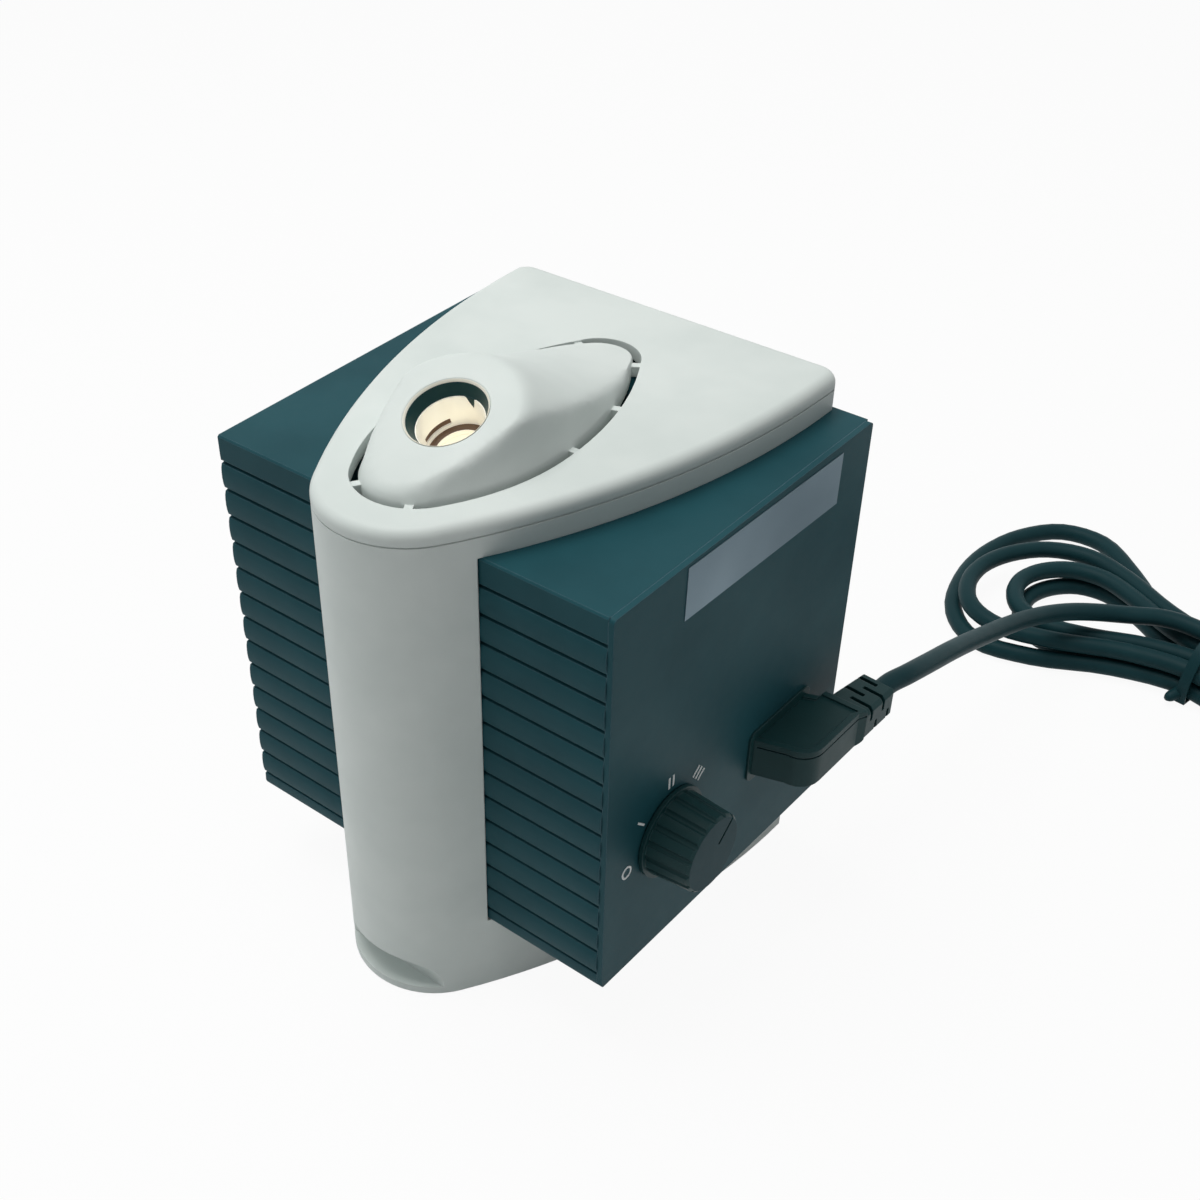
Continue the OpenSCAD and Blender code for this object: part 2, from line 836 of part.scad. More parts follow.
// The round bar that the finger scoop is cut with, grown by a wall
module scoop_rod(scoop_y, grow) {
  translate([-case_w, scoop_y, scoop_z])
    rotate([0, 90, 0])
      cylinder(r = scoop_r + grow, h = 2 * case_w);
}

// The wall that backs the finger scoop
module scoop_back(scoop_y) {
  intersection() {
    scoop_rod(scoop_y, spine_wall);
    block([-case_w, -case_d, foot_z], [case_w, case_d, deck_z]);
  }
}

mid_y = case_d / 2;
base_screw_places = concat([[0, nose_y + 16]],
  [for (side = [-1, 1]) each [[side * (spine_half_w - 27), mid_y + 1], [side * 20, case_d - 12]]]);
case_screw_places = [for (side = [-1, 1])
  each [[side * case_w * 0.137, mid_y - case_d * 0.177],
    [side * (spine_half_w - 19), mid_y + case_d * 0.1]]];
pad_places = concat([[0, nose_y - 5.94]],
  [for (side = [-1, 1]) [side * (spine_half_w - pad_side), case_d - pad_rear]]);

module base_plate() {
  plate_in = spine_wall + run_gap;
  scoop_y = nose_tip_y - scoop_r + scoop_depth;
  color("dimgray")
    difference() {
      spine_form([[plate_in, foot_z], [plate_in, foot_z + base_plate_t]]);
      scoop_rod(scoop_y, spine_wall + run_gap);
      for (place = pad_places)
        translate([place[0], place[1], foot_z - 1])
          cylinder(r = pad_r + fit_gap, h = 1 + pad_pocket);
      for (place = base_screw_places)
        translate([place[0], place[1], 0]) {
          cylinder(r = base_screw_r + run_gap, h = 14);
          cylinder(r = 3 + run_gap, h = foot_z + 1.2);
        }
    }
}

module base_screws() {
  color("silver")
    for (place = base_screw_places)
      translate([place[0], place[1], foot_z + 1.2])
        screw(base_screw_r, 9, 3, 1);
}

module foot_pads() {
  color("black")
    for (place = pad_places)
      translate([place[0], place[1], 0])
        union() {
          cylinder(r1 = pad_r - 0.6, r2 = pad_r, h = 0.6);
          translate([0, 0, 0.6])
            cylinder(r = pad_r, h = foot_z + pad_pocket - 0.6);
        }
}

// One groove and the rib above it, from bottom to top, as [y, z] points
function rib_points(z) =
  [[0.2, z - groove_w / 2], [groove_depth, z - groove_w * 0.2],
   [groove_depth, z + groove_w * 0.3], [0.1, z + groove_w / 2],
   [-rib_crown * 0.6, z + rib_pitch * 0.22], [-rib_crown, z + rib_pitch * 0.42],
   [-rib_crown * 0.9, z + rib_pitch * 0.62], [-rib_crown * 0.5, z + rib_pitch * 0.8]];

module sleeve_profile() {
  corner = 1.5;
  last_z = case_lift + rib_first + (rib_count - 1) * rib_pitch;
  polygon(concat([[case_d, case_lift], [corner, case_lift], [0.4, case_lift + 0.4]],
    [[0, case_lift + corner]],
    [for (i = [0:rib_count - 1])
      each [for (p = rib_points(case_lift + rib_first + i * rib_pitch))
        if (p[1] <= last_z + groove_w) p]],
    [[0, last_z + groove_w + 1], [0, case_top - 0.6], [0.6, case_top], [case_d, case_top]]));
}

module case_sleeve() {
  color("darkslategray")
    difference() {
      translate([-panel_out_x, 0, 0])
        rotate([90, 0, 90])
          linear_extrude(panel_out_x + panel_in_x)
            sleeve_profile();
      block([-case_w, inner_front, inner_floor], [case_w, inner_rear, inner_roof]);
      oval_form([[4, inner_roof - 1], [4, case_top + 1]]);
      for (i = [0:rear_slots - 1])
        translate([(i - (rear_slots - 1) / 2) * rear_slot_w * 3, inner_rear - 1,
          (case_lift + case_top - rear_slot_h) / 2 + 24])
          translate([-rear_slot_w / 2, 0, 0])
            cube([rear_slot_w, sleeve_wall + 2, rear_slot_h]);
      for (place = case_screw_places)
        translate([place[0], place[1], case_lift - 1])
          cylinder(r = 2 + fit_gap, h = sleeve_wall + 2);
      for (place = concat(frame_screw_places, strap_screw_places))
        translate([place[0], place[1], case_lift + 0.5])
          cylinder(r = 1.5 + fit_gap, h = sleeve_wall);
    }
}

module case_screws() {
  color("silver")
    for (place = case_screw_places)
      translate([place[0], place[1], deck_z])
        screw(2, spine_wall + sleeve_wall + 2, 3.6, 2.2);
}

module side_panel_right() {
  color("darkslategray")
    difference() {
      panel_form(panel_in_x, panel_out_x, 0, case_d, case_lift, case_top, panel_corner_r);
      translate([panel_in_x - 1, knob_y, knob_axis_z])
        rotate([0, 90, 0])
          cylinder(r = bushing_r + fit_gap, h = panel_t + 2);
      block([panel_in_x - 1, inlet_y - housing_w / 2 - fit_gap, inlet_axis_z - housing_h / 2 - fit_gap],
        [panel_out_x + 1, inlet_y + housing_w / 2 + fit_gap, inlet_axis_z + housing_h / 2 + fit_gap]);
    }
}

module side_panel_left() {
  slots = 8;
  slot_w = 3;
  slot_pitch = 9;
  slot_len = 46;
  color("darkslategray")
    difference() {
      panel_form(-panel_out_x, -panel_in_x, inner_front + fit_gap, inner_rear - fit_gap,
        inner_floor + fit_gap, inner_roof - fit_gap, panel_corner_r);
      for (i = [0:slots - 1])
        translate([-panel_out_x - 1, case_d / 2 + (i - (slots - 1) / 2) * slot_pitch - slot_w / 2,
          case_lift + 14])
          cube([panel_t + 2, slot_w, slot_len]);
    }
}

// ---------- power supply ----------

leg_w = core_w / 6;
core_x = core_w / 2 + 15.5 - panel_in_x;
core_y = inner_rear - 1.5 - (core_t + 2 * leg_w - 2) / 2;
core_z = inner_floor + 3 + core_h / 2;
strap_screw_places = [for (side = [-1, 1]) [core_x + side * (core_w / 2 + 6), core_y]];

module transformer_core() {
  color("dimgray")
    difference() {
      translate([core_x, core_y, core_z])
        cube([core_w, core_t, core_h], center = true);
      for (side = [-1, 1])
        translate([core_x + side * leg_w * 1.5, core_y, core_z])
          cube([leg_w, core_t + 2, core_h - 2 * leg_w], center = true);
    }
}

module transformer_bobbin() {
  bob_h = core_h - 2 * leg_w - 2 * fit_gap;
  color("white")
    translate([core_x, core_y, core_z])
      difference() {
        union() {
          cube([2 * leg_w + 2.4, core_t + 2.4, bob_h], center = true);
          for (side = [-1, 1])
            translate([0, 0, side * (bob_h / 2 - 0.6)])
              cube([4 * leg_w - 2 * fit_gap, core_t + 2 * leg_w - 2, 1.2], center = true);
        }
        cube([2 * leg_w + 2 * fit_gap, core_t + 2 * fit_gap, bob_h + 2], center = true);
      }
}

module transformer_winding() {
  wind_h = core_h - 2 * leg_w - 2 * fit_gap - 2.4 - 2 * fit_gap;
  color("peru")
    translate([core_x, core_y, core_z])
      difference() {
        cube([4 * leg_w - 1.2, core_t + 2 * leg_w - 4, wind_h], center = true);
        cube([2 * leg_w + 2.4 + 2 * fit_gap, core_t + 2.4 + 2 * fit_gap, wind_h + 2], center = true);
      }
}

module transformer_strap() {
  strap_t = 1.5;
  strap_half_w = core_w / 2 + strap_t + fit_gap;
  strap_d = 12;
  top_z = core_z + core_h / 2 + fit_gap;
  color("silver")
    difference() {
      union() {
        block([core_x - strap_half_w, core_y - strap_d / 2, inner_floor],
          [core_x + strap_half_w, core_y + strap_d / 2, top_z + strap_t]);
        block([core_x - strap_half_w - 9, core_y - strap_d / 2, inner_floor],
          [core_x + strap_half_w + 9, core_y + strap_d / 2, inner_floor + strap_t]);
      }
      block([core_x - core_w / 2 - fit_gap, core_y - strap_d, inner_floor + strap_t],
        [core_x + core_w / 2 + fit_gap, core_y + strap_d, top_z]);
      for (place = strap_screw_places)
        translate([place[0], place[1], inner_floor - 1])
          cylinder(r = 1.5 + run_gap, h = 4);
    }
}

module strap_screws() {
  color("silver")
    for (place = strap_screw_places)
      translate([place[0], place[1], inner_floor + 1.5])
        rotate([180, 0, 0])
          screw(1.5, 3.5, 2.8, 1.8);
}

board_x = -panel_in_x + 8;
board_y = mid_y - 43;
board_z = inner_roof - board_h - 19;
board_t = 1.6;
standoff_places = [for (y = [board_y + 5, board_y + board_w - 5])
  for (z = [board_z + 5, board_z + board_h - 5]) [y, z]];

module circuit_board() {
  color("darkgreen")
    difference() {
      block([board_x, board_y, board_z], [board_x + board_t, board_y + board_w, board_z + board_h]);
      for (place = standoff_places)
        translate([board_x - 1, place[0], place[1]])
          rotate([0, 90, 0])
            cylinder(r = 1.5 + fit_gap, h = board_t + 2);
    }
}

module board_parts() {
  face_x = board_x + board_t;
  color("dimgray")
    union() {
      block([face_x, board_y + board_w * 0.23, board_z + board_h * 0.17],
        [face_x + 10, board_y + board_w * 0.385, board_z + board_h * 0.485]);
      block([face_x, board_y + board_w * 0.5, board_z + board_h * 0.57],
        [face_x + 8, board_y + board_w * 0.85, board_z + board_h * 0.8]);
      for (share = [0.29, 0.46])
        translate([face_x, board_y + board_w * 0.65, board_z + board_h * share])
          rotate([0, 90, 0])
            cylinder(r = 5, h = 14);
    }
}

module board_standoffs() {
  color("gold")
    for (place = standoff_places)
      translate([-panel_in_x, place[0], place[1]])
        rotate([0, 90, 0])
          union() {
            cylinder(r = 3, h = board_x + panel_in_x);
            cylinder(r = 1.5, h = board_x + panel_in_x + board_t + 1.5);
          }
}

// ---------- selector ----------

bushing_r = 4.8;
switch_len = 20;

module at_knob() {
  translate([panel_out_x, knob_y, knob_axis_z])
    rotate([0, 90, 0])
      children();
}

module rotary_switch() {
  nut_h = 2.4;
  body_top = -panel_t;
  color("dimgray")
    at_knob()
      difference() {
        union() {
          translate([0, 0, body_top - switch_len])
            cylinder(r = 13, h = switch_len);
          translate([0, 0, body_top - 1])
            cylinder(r = bushing_r, h = panel_t + 1 + nut_h + 0.6);
        }
        translate([0, 0, body_top - 12])
          cylinder(r = shaft_r + shaft_gap, h = 40);
      }
}

module switch_nut() {
  color("silver")
    at_knob()
      difference() {
        cylinder(r = 7, h = 2.4, $fn = 6);
        translate([0, 0, -1])
          cylinder(r = bushing_r + fit_gap, h = 5);
      }
}

module switch_shaft() {
  color("silver")
    at_knob()
      translate([0, 0, -panel_t - 11])
        difference() {
          cylinder(r = shaft_r, h = panel_t + 11 + knob_gap + knob_h - 4);
          translate([shaft_r - 1, -shaft_r, panel_t + 16])
            cube([2, 2 * shaft_r, 20]);
        }
}

module selector_knob() {
  cavity_r = 8;
  cavity_h = 5;
  flute_r = 1.2;
  flute_out = 0.3;
  pointer_w = 1.1;
  pointer_depth = 0.6;
  edge = 0.8;
  color("black")
    at_knob()
      translate([0, 0, knob_gap])
        difference() {
          union() {
            cylinder(r = knob_skirt_r, h = knob_skirt_t);
            translate([0, 0, knob_skirt_t])
              cylinder(r1 = knob_root_r, r2 = knob_face_r, h = knob_h - knob_skirt_t - edge);
            translate([0, 0, knob_h - edge])
              cylinder(r1 = knob_face_r, r2 = knob_face_r - edge, h = edge);
          }
          for (i = [0:knob_flutes - 1])
            rotate([0, 0, i * 360 / knob_flutes])
              translate([knob_root_r + flute_out, 0, knob_skirt_t])
                rotate([0, -atan((knob_root_r - knob_face_r) / knob_h), 0])
                  cylinder(r = flute_r, h = knob_h, $fn = 24);
          translate([0, 0, -1])
            cylinder(r = cavity_r, h = cavity_h + 1);
          difference() {
            cylinder(r = shaft_r + fit_gap, h = knob_h - 3.8);
            translate([shaft_r - 1 + fit_gap, -shaft_r - 1, cavity_h + 1])
              cube([3, 2 * shaft_r + 2, knob_h]);
          }
          rotate([0, 0, dial_start])
            translate([-pointer_w / 2, knob_face_r * 0.25, knob_h - pointer_depth])
              cube([pointer_w, knob_face_r, 2]);
        }
}

// Strokes O, I, II and III around the knob, as thin print
module dial_marks() {
  print_t = 0.15;
  stroke_w = 0.75;
  stroke_pitch = 2.1;
  color("lightgray")
    translate([panel_out_x, knob_y, knob_axis_z]) {
      for (step = [1:3])
        rotate([dial_start + dial_step * (3 - step), 0, 0])
          for (i = [0:step - 1])
            block([0, dial_r, (i - (step - 1) / 2) * stroke_pitch - stroke_w / 2],
              [print_t, dial_r + dial_mark_len, (i - (step - 1) / 2) * stroke_pitch + stroke_w / 2]);
      rotate([dial_start + dial_step * 3, 0, 0])
        translate([0, dial_r + 3.6, 0])
          rotate([0, 90, 0])
            tube(2.4, 1.7, 0, print_t);
    }
}

// ---------- mains inlet, plug and cord ----------

housing_w = 29;
housing_h = 17.5;
housing_len = 24;
cavity_len = nose_len + 1;
pin_pitch = 7;

module inlet_body() {
  color("black")
    difference() {
      union() {
        panel_form(panel_out_x, plug_root_x, inlet_y - flange_w / 2, inlet_y + flange_w / 2,
          inlet_axis_z - flange_h / 2, inlet_axis_z + flange_h / 2, 3);
        block([panel_out_x - housing_len, inlet_y - housing_w / 2, inlet_axis_z - housing_h / 2],
          [panel_out_x, inlet_y + housing_w / 2, inlet_axis_z + housing_h / 2]);
      }
      block([plug_root_x - cavity_len, inlet_y - nose_w / 2 - run_gap, inlet_axis_z - nose_h / 2 - run_gap],
        [plug_root_x + 1, inlet_y + nose_w / 2 + run_gap, inlet_axis_z + nose_h / 2 + run_gap]);
      for (i = [-1:1])
        translate([panel_out_x - housing_len - 1, inlet_y + i * pin_pitch - 2, inlet_axis_z - 1])
          cube([housing_len, 4, 2]);
    }
}

module inlet_pins() {
  color("silver")
    for (i = [-1:1])
      translate([panel_out_x - housing_len - 6, inlet_y + i * pin_pitch - 2 + fit_gap,
        inlet_axis_z - 1 + fit_gap])
        cube([housing_len + 4, 4 - 2 * fit_gap, 2 - 2 * fit_gap]);
}

boot_tilt = 4.3;
boot_half_w = 7.6;
boot_tip_w = 6.5;
boot_half_h = 6.2;
boot_flare = 1.5;
boot_x = plug_out_x - 6.1;
boot_y = inlet_y + 19.5;

function corner_points(cx, cy, r, a0, a1) =
  [for (i = [0:6]) let (a = a0 + (a1 - a0) * i / 6) [cx + r * cos(a), cy + r * sin(a)]];

root_half = 15.5;

// Plan of the plug, inset from its free edges
module plug_plan(inset = 0) {
  root_y0 = inlet_y - root_half;
  root_y1 = inlet_y + root_half;
  end_y = boot_y + 1 - inset;
  polygon(concat(
    [[plug_root_x, root_y0 + inset], [plug_out_x - 8.5, root_y0 + 3.2 + inset]],
    corner_points(plug_out_x - 8, root_y0 + 11.2, 8 - inset, -78, 0),
    [[plug_out_x - inset, boot_y - 2 - inset], [plug_out_x + boot_flare - inset, end_y],
     [plug_out_x - 14.5, end_y], [plug_root_x + 4, root_y1 + 1.5 - inset],
     [plug_root_x, root_y1 - inset]]));
}

module plug_body() {
  low_z = inlet_axis_z - plug_h / 2;
  near_y = inlet_y - root_half + 0.5;
  edge = 2.5;
  lip_edge = 1.2;
  lip_w = 2.2;
  lip_h = 0.7;
  line_w = 0.6;
  line_z = low_z + plug_h - 2.8;
  color("black")
    difference() {
      union() {
        intersection() {
          translate([0, 0, low_z])
            linear_extrude(plug_h)
              plug_plan();
          rotate([90, 0, 0])
            translate([0, 0, -big])
              linear_extrude(big * 2)
                polygon(concat([[plug_root_x, low_z]],
                  corner_points(plug_out_x + boot_flare - edge, low_z + edge, edge, -90, 0),
                  corner_points(plug_out_x + boot_flare - lip_edge, low_z + plug_h - lip_edge,
                    lip_edge, 0, 90),
                  [[plug_root_x, low_z + plug_h]]));
          rotate([90, 0, 90])
            linear_extrude(big)
              polygon(concat([[boot_y + 2, low_z + plug_h], [boot_y + 2, low_z]],
                corner_points(near_y, low_z + 1.5, 1.5, 270, 180),
                corner_points(near_y, low_z + plug_h - 1.5, 1.5, 180, 90)));
        }
        block([plug_root_x - nose_len, inlet_y - nose_w / 2, inlet_axis_z - nose_h / 2],
          [plug_root_x + eps, inlet_y + nose_w / 2, inlet_axis_z + nose_h / 2]);
      }
      translate([0, 0, low_z + plug_h - lip_h])
        linear_extrude(lip_h + 1)
          plug_plan(lip_w);
      translate([0, 0, line_z])
        linear_extrude(line_w)
          difference() {
            translate([plug_root_x + 1, 0])
              square([big, big]);
            plug_plan(line_w);
          }
      for (i = [-1:1])
        translate([plug_root_x - nose_len - 1, inlet_y + i * pin_pitch - 2 - fit_gap,
          inlet_axis_z - 1 - fit_gap])
          cube([nose_len, 4 + 2 * fit_gap, 2 + 2 * fit_gap]);
    }
}

module at_boot() {
  translate([boot_x, boot_y + 1, inlet_axis_z])
    rotate([0, 0, -boot_tilt])
      rotate([-90, 0, 0])
        children();
}

// Tapered outline of the strain relief, from a half width at the plug to one at its end
module boot_outline(root, tip) {
  nose = 1.3;
  polygon([[-root, -1], [root, -1], [tip + 0.1, boot_len - nose], [tip - nose, boot_len],
    [nose - tip, boot_len], [-tip - 0.1, boot_len - nose]]);
}

module plug_boot() {
  core_r = 4.7;
  cone_gain = 1.3;
  slots = 4;
  slot_w = 1.5;
  slot_pitch = boot_len / (slots + 1);
  slot_past = 1.4;
  web = 0.8;
  color("black")
    intersection() {
      at_boot()
        difference() {
          intersection() {
            translate([0, 0, -1])
              cylinder(r1 = boot_half_w + cone_gain, r2 = boot_tip_w + cone_gain, h = boot_len + 1);
            rotate([90, 0, 0])
              translate([0, 0, -big / 2])
                linear_extrude(big)
                  boot_outline(boot_half_w, boot_tip_w);
            rotate([90, 0, 90])
              translate([0, 0, -big / 2])
                linear_extrude(big)
                  boot_outline(boot_half_h, boot_half_h - 0.4);
          }
          for (i = [0:slots - 1])
            for (turn = [0, 180])
              mirror([i % 2, 0, 0])
                rotate([0, 0, turn])
                  difference() {
                    translate([-slot_past, -big, (i + 1) * slot_pitch - slot_w / 2])
                      cube([big, big - web, slot_w]);
                    cylinder(r = core_r, h = boot_len);
                  }
        }
      block([0, boot_y + 1, 0], [big, big, big]);
    }
}

// Tube swept along points: rings stand square to the path, the ends are flat
function unit_of(v) = v / norm(v);
function heading(path, i) = let (last = len(path) - 1)
  i == 0 ? unit_of(path[1] - path[0]) :
  i == last ? unit_of(path[last] - path[last - 1]) :
  unit_of(unit_of(path[i + 1] - path[i]) + unit_of(path[i] - path[i - 1]));

module swept_tube(path, r, sides) {
  rings = len(path);
  points = [for (i = [0:rings - 1])
    let (t = heading(path, i), u = unit_of(cross([0, 0, 1], t)), v = cross(t, u))
      for (k = [0:sides - 1])
        path[i] + r * (cos(360 * k / sides) * u + sin(360 * k / sides) * v)];
  walls = [for (i = [0:rings - 2]) for (k = [0:sides - 1])
    let (a = i * sides + k, b = i * sides + (k + 1) % sides)
      each [[a, b, a + sides], [b, b + sides, a + sides]]];
  start_cap = [for (k = [1:sides - 2]) [0, k + 1, k]];
  last_ring = (rings - 1) * sides;
  end_cap = [for (k = [1:sides - 2]) [last_ring, last_ring + k, last_ring + k + 1]];
  polyhedron(points = points, faces = [for (f = concat(walls, start_cap, end_cap)) [f[0], f[2], f[1]]]);
}

// Where the hank is tied, and which way it lies on the table
tie_x = 150;
tie_y = 306;
hank_turn = -6;
cord_r = cord_d / 2;
strand = cord_d + strand_gap;
layer_z = [cord_r + 0.45, cord_r + 0.45 + strand, cord_r + 0.45 + 2 * strand];
tie_lift = 1.4;

function on_table(p) =
  [tie_x + p[0] * cos(hank_turn) - p[1] * sin(hank_turn),
   tie_y + p[0] * sin(hank_turn) + p[1] * cos(hank_turn), p[2]];

// Each loop: [half length, lobe width, width at the tie, height, shift of the left end]
loop_sizes = [[94, 60, strand / 2, layer_z[2], 0], [102, 62, strand * 1.5, layer_z[1], -6],
  [84, 42, strand / 2, layer_z[1], -2], [80, 44, strand / 2, layer_z[0], 0],
  [112, 90, strand * 1.5, layer_z[0], 14]];
hank_step = 15;
hank_last = 90 + 360 * 4 - 60;

function ease(f) = let (g = min(1, max(0, f))) g * g * (3 - 2 * g);
function loop_index(u) = floor((u + 270) / 360);
function mix_at(u, k, from, to) =
  let (i = loop_index(u), m = u - (90 + 360 * (i - 1)),
       n = u - (90 + 360 * i))
    n >= from ? loop_sizes[i][k] + (loop_sizes[min(4, i + 1)][k] - loop_sizes[i][k])
      * ease((n - from) / (to - from)) :
    i > 0 && m <= to ? loop_sizes[i - 1][k] + (loop_sizes[i][k] - loop_sizes[i - 1][k])
      * ease((m - from) / (to - from)) :
    loop_sizes[i][k];

function hank_point(u) =
  let (t = 90 - u, s = sin(t),
       a = mix_at(u, 0, -60, 0), b = mix_at(u, 1, -60, 0), w = mix_at(u, 2, -60, 0),
       z = u < 200 ? mix_at(u, 3, 0, 60) : mix_at(u, 3, -60, 0),
       shift = cos(t) < 0 ? mix_at(u, 4, -60, 0) * pow(cos(t), 2) : 0,
       q = 1 - w / b)
    on_table([a * cos(t), b * s * (1 - q * pow(s, 4)) + shift, z + tie_lift * pow(s, 12)]);

hank_lead = [for (p = [[-30.3, -4.4], [-24.8, -0.3], [-18.6, 2.4], [-12.9, 3.5]])
  [p[0], p[1], layer_z[2] + tie_lift]];
hank_tail = [[75, 51, 5.5], [95, 62, 7.5], [115, 68, 10], [132, 69, 11.4], [142, 69, 11.4]];
hank_path = concat([for (p = hank_lead) on_table(p)],
  [for (u = [0:hank_step:hank_last]) hank_point(u)],
  [for (p = hank_tail) on_table(p)]);

// Least distance between strands that aren't next to each other
function least_gap(path, apart) = min([for (i = [0:len(path) - 1 - apart])
  for (j = [i + apart:len(path) - 1]) norm(path[i] - path[j])]) - cord_d;
echo(hank_gap = least_gap(hank_path, 5));

boot_end = [boot_x + (boot_len) * sin(boot_tilt), boot_y + 1 + boot_len * cos(boot_tilt), inlet_axis_z];
run_points = [[93.5, 147, 76], [93.8, 156, 73.6], [93.5, 168, 69.6], [92.8, 181, 64.9],
  [91.8, 195, 59.2], [90.9, 210, 52.9], [90.3, 226, 46.3], [90.4, 242, 40.4], [91.6, 257, 35.2],
  [94.6, 271, 30.8], [99.4, 283, 27.2], [105.5, 292.6, 24.3]];

module cord_run() {
  path = concat([boot_end, boot_end + cord_d * [sin(boot_tilt), cos(boot_tilt), 0]], run_points,
    [hank_path[0] - cord_d * unit_of(hank_path[1] - hank_path[0]), hank_path[0]]);
  color("black")
    swept_tube(path, cord_r, 10);
}

module cord_hank() {
  color("black")
    swept_tube(hank_path, cord_r, 6);
}

module hank_tie() {
  half_w = strand * 2 + 0.6;
  low = 0.1;
  high = layer_z[2] + tie_lift + cord_r + 0.5;
  skin = 1.1;
  width = 5;
  color("dimgray")
    translate([tie_x, tie_y, 0])
      rotate([0, 0, hank_turn])
        union() {
          difference() {
            block([-width / 2, -half_w - skin, low], [width / 2, half_w + skin, high + skin]);
            block([-width, -half_w, low + skin], [width, half_w, high]);
          }
          translate([0, half_w + skin - eps, high - 3])
            rotate([-90, 0, 25])
              cylinder(r = 1.4, h = 10);
        }
}

module mains_plug() {
  body_l = 36;
  body_w = 25;
  body_h = 22;
  start = hank_tail[len(hank_tail) - 1];
  color("black")
    translate(on_table([start[0], start[1], 0]))
      rotate([0, 0, hank_turn])
        difference() {
          union() {
            intersection() {
              panel_form(0, body_l + 14, -body_w / 2, body_w / 2, start[2] - body_h / 2,
                start[2] + body_h / 2, 5);
              translate([14, -body_w / 2, 0])
                cube([body_l, body_w, big]);
            }
            translate([0, 0, start[2]])
              rotate([0, 90, 0])
                cylinder(r1 = 5.2, r2 = 8, h = 14 + eps);
          }
          for (side = [-1, 1])
            translate([body_l + 14 - 6, side * 6.3 - 0.9, start[2] - 3.3])
              cube([10, 1.8, 6.6]);
          translate([body_l + 14 - 6, 0, start[2] - 7.4])
            rotate([0, 90, 0])
              cylinder(r = 2.5, h = 10);
        }
}

module mains_plug_pins() {
  body_l = 36;
  start = hank_tail[len(hank_tail) - 1];
  color("gold")
    translate(on_table([start[0], start[1], 0]))
      rotate([0, 0, hank_turn]) {
        for (side = [-1, 1])
          translate([body_l + 14 - 6, side * 6.3 - 0.75, start[2] - 3.15])
            cube([22, 1.5, 6.3]);
        translate([body_l + 14 - 6, 0, start[2] - 7.4])
          rotate([0, 90, 0])
            cylinder(r = 2.35, h = 25);
      }
}

label_y = case_d / 2 + 8;
label_z = case_top - 11;
label_tilt = -1.2;

module label_plate() {
  label_t = 0.25;
  color("silver")
    translate([panel_out_x, label_y, label_z])
      rotate([label_tilt, 0, 0])
        block([0, -label_w / 2, -label_h / 2], [label_t, label_w / 2, label_h / 2]);
}

top_cover();
port_dome();
port_ring();
guide_sleeve();
exit_window();
window_clip();
heat_filter();
filter_clip();
lamp_reflector();
lamp_capsule();
lamp_pins();
lamp_socket();
lamp_frame();
lamp_frame_screws();
lamp_leads();
spine_body();
base_plate();
base_screws();
foot_pads();
case_sleeve();
case_screws();
side_panel_right();
side_panel_left();
transformer_core();
transformer_bobbin();
transformer_winding();
transformer_strap();
strap_screws();
circuit_board();
board_parts();
board_standoffs();
rotary_switch();
switch_nut();
switch_shaft();
selector_knob();
dial_marks();
inlet_body();
inlet_pins();
plug_body();
plug_boot();
cord_run();
cord_hank();
hank_tie();
mains_plug();
mains_plug_pins();
label_plate();
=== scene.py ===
"""Fiber optic illuminator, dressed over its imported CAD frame.

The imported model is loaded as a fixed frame. Each class below builds one sub-assembly: it gives the
CAD nodes their procedural finishes, or replaces a node by a finer piece of the same size, and makes
every new piece ride on its CAD body. Lengths are in millimetres where a name ends in _mm or where a
size class says so, and in metres everywhere else.
"""

from __future__ import annotations

import json
import logging
import math
from dataclasses import dataclass
from enum import Enum
from typing import Callable, Iterable, Sequence

import bmesh
import bpy
from mathutils import Matrix, Vector

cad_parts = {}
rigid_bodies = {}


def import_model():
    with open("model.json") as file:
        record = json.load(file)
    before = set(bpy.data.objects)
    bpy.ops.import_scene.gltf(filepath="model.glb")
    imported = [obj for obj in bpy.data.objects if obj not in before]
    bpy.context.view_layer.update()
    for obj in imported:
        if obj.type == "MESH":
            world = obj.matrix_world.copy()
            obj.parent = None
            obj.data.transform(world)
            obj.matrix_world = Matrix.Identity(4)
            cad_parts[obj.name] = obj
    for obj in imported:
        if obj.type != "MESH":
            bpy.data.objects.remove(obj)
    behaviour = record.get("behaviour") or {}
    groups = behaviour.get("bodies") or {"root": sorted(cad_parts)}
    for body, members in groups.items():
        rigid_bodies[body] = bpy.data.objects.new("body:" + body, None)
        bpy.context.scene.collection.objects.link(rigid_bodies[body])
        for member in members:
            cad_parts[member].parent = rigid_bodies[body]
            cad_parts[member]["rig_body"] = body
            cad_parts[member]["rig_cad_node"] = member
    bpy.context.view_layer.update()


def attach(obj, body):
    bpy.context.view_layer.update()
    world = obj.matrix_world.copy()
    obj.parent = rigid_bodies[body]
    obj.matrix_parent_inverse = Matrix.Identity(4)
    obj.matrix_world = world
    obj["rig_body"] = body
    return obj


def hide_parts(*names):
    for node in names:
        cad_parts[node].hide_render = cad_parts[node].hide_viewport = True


LOG = logging.getLogger("illuminator")
MM = 0.001
Point = tuple[float, float, float]
Colour = tuple[float, float, float]
Piece = bpy.types.Object
Socket = bpy.types.NodeSocket


# ---- small helpers


def srgb(*shown: int) -> Colour:
    """Turns an 8-bit display colour into Blender's linear colour.

    Args:
        *shown: Red, green and blue from 0 to 255.

    Returns:
        The linear colour as three numbers.
    """
    shares = (value / 255 for value in shown)
    return tuple(share / 12.92 if share <= 0.04045 else ((share + 0.055) / 1.055) ** 2.4
                 for share in shares)


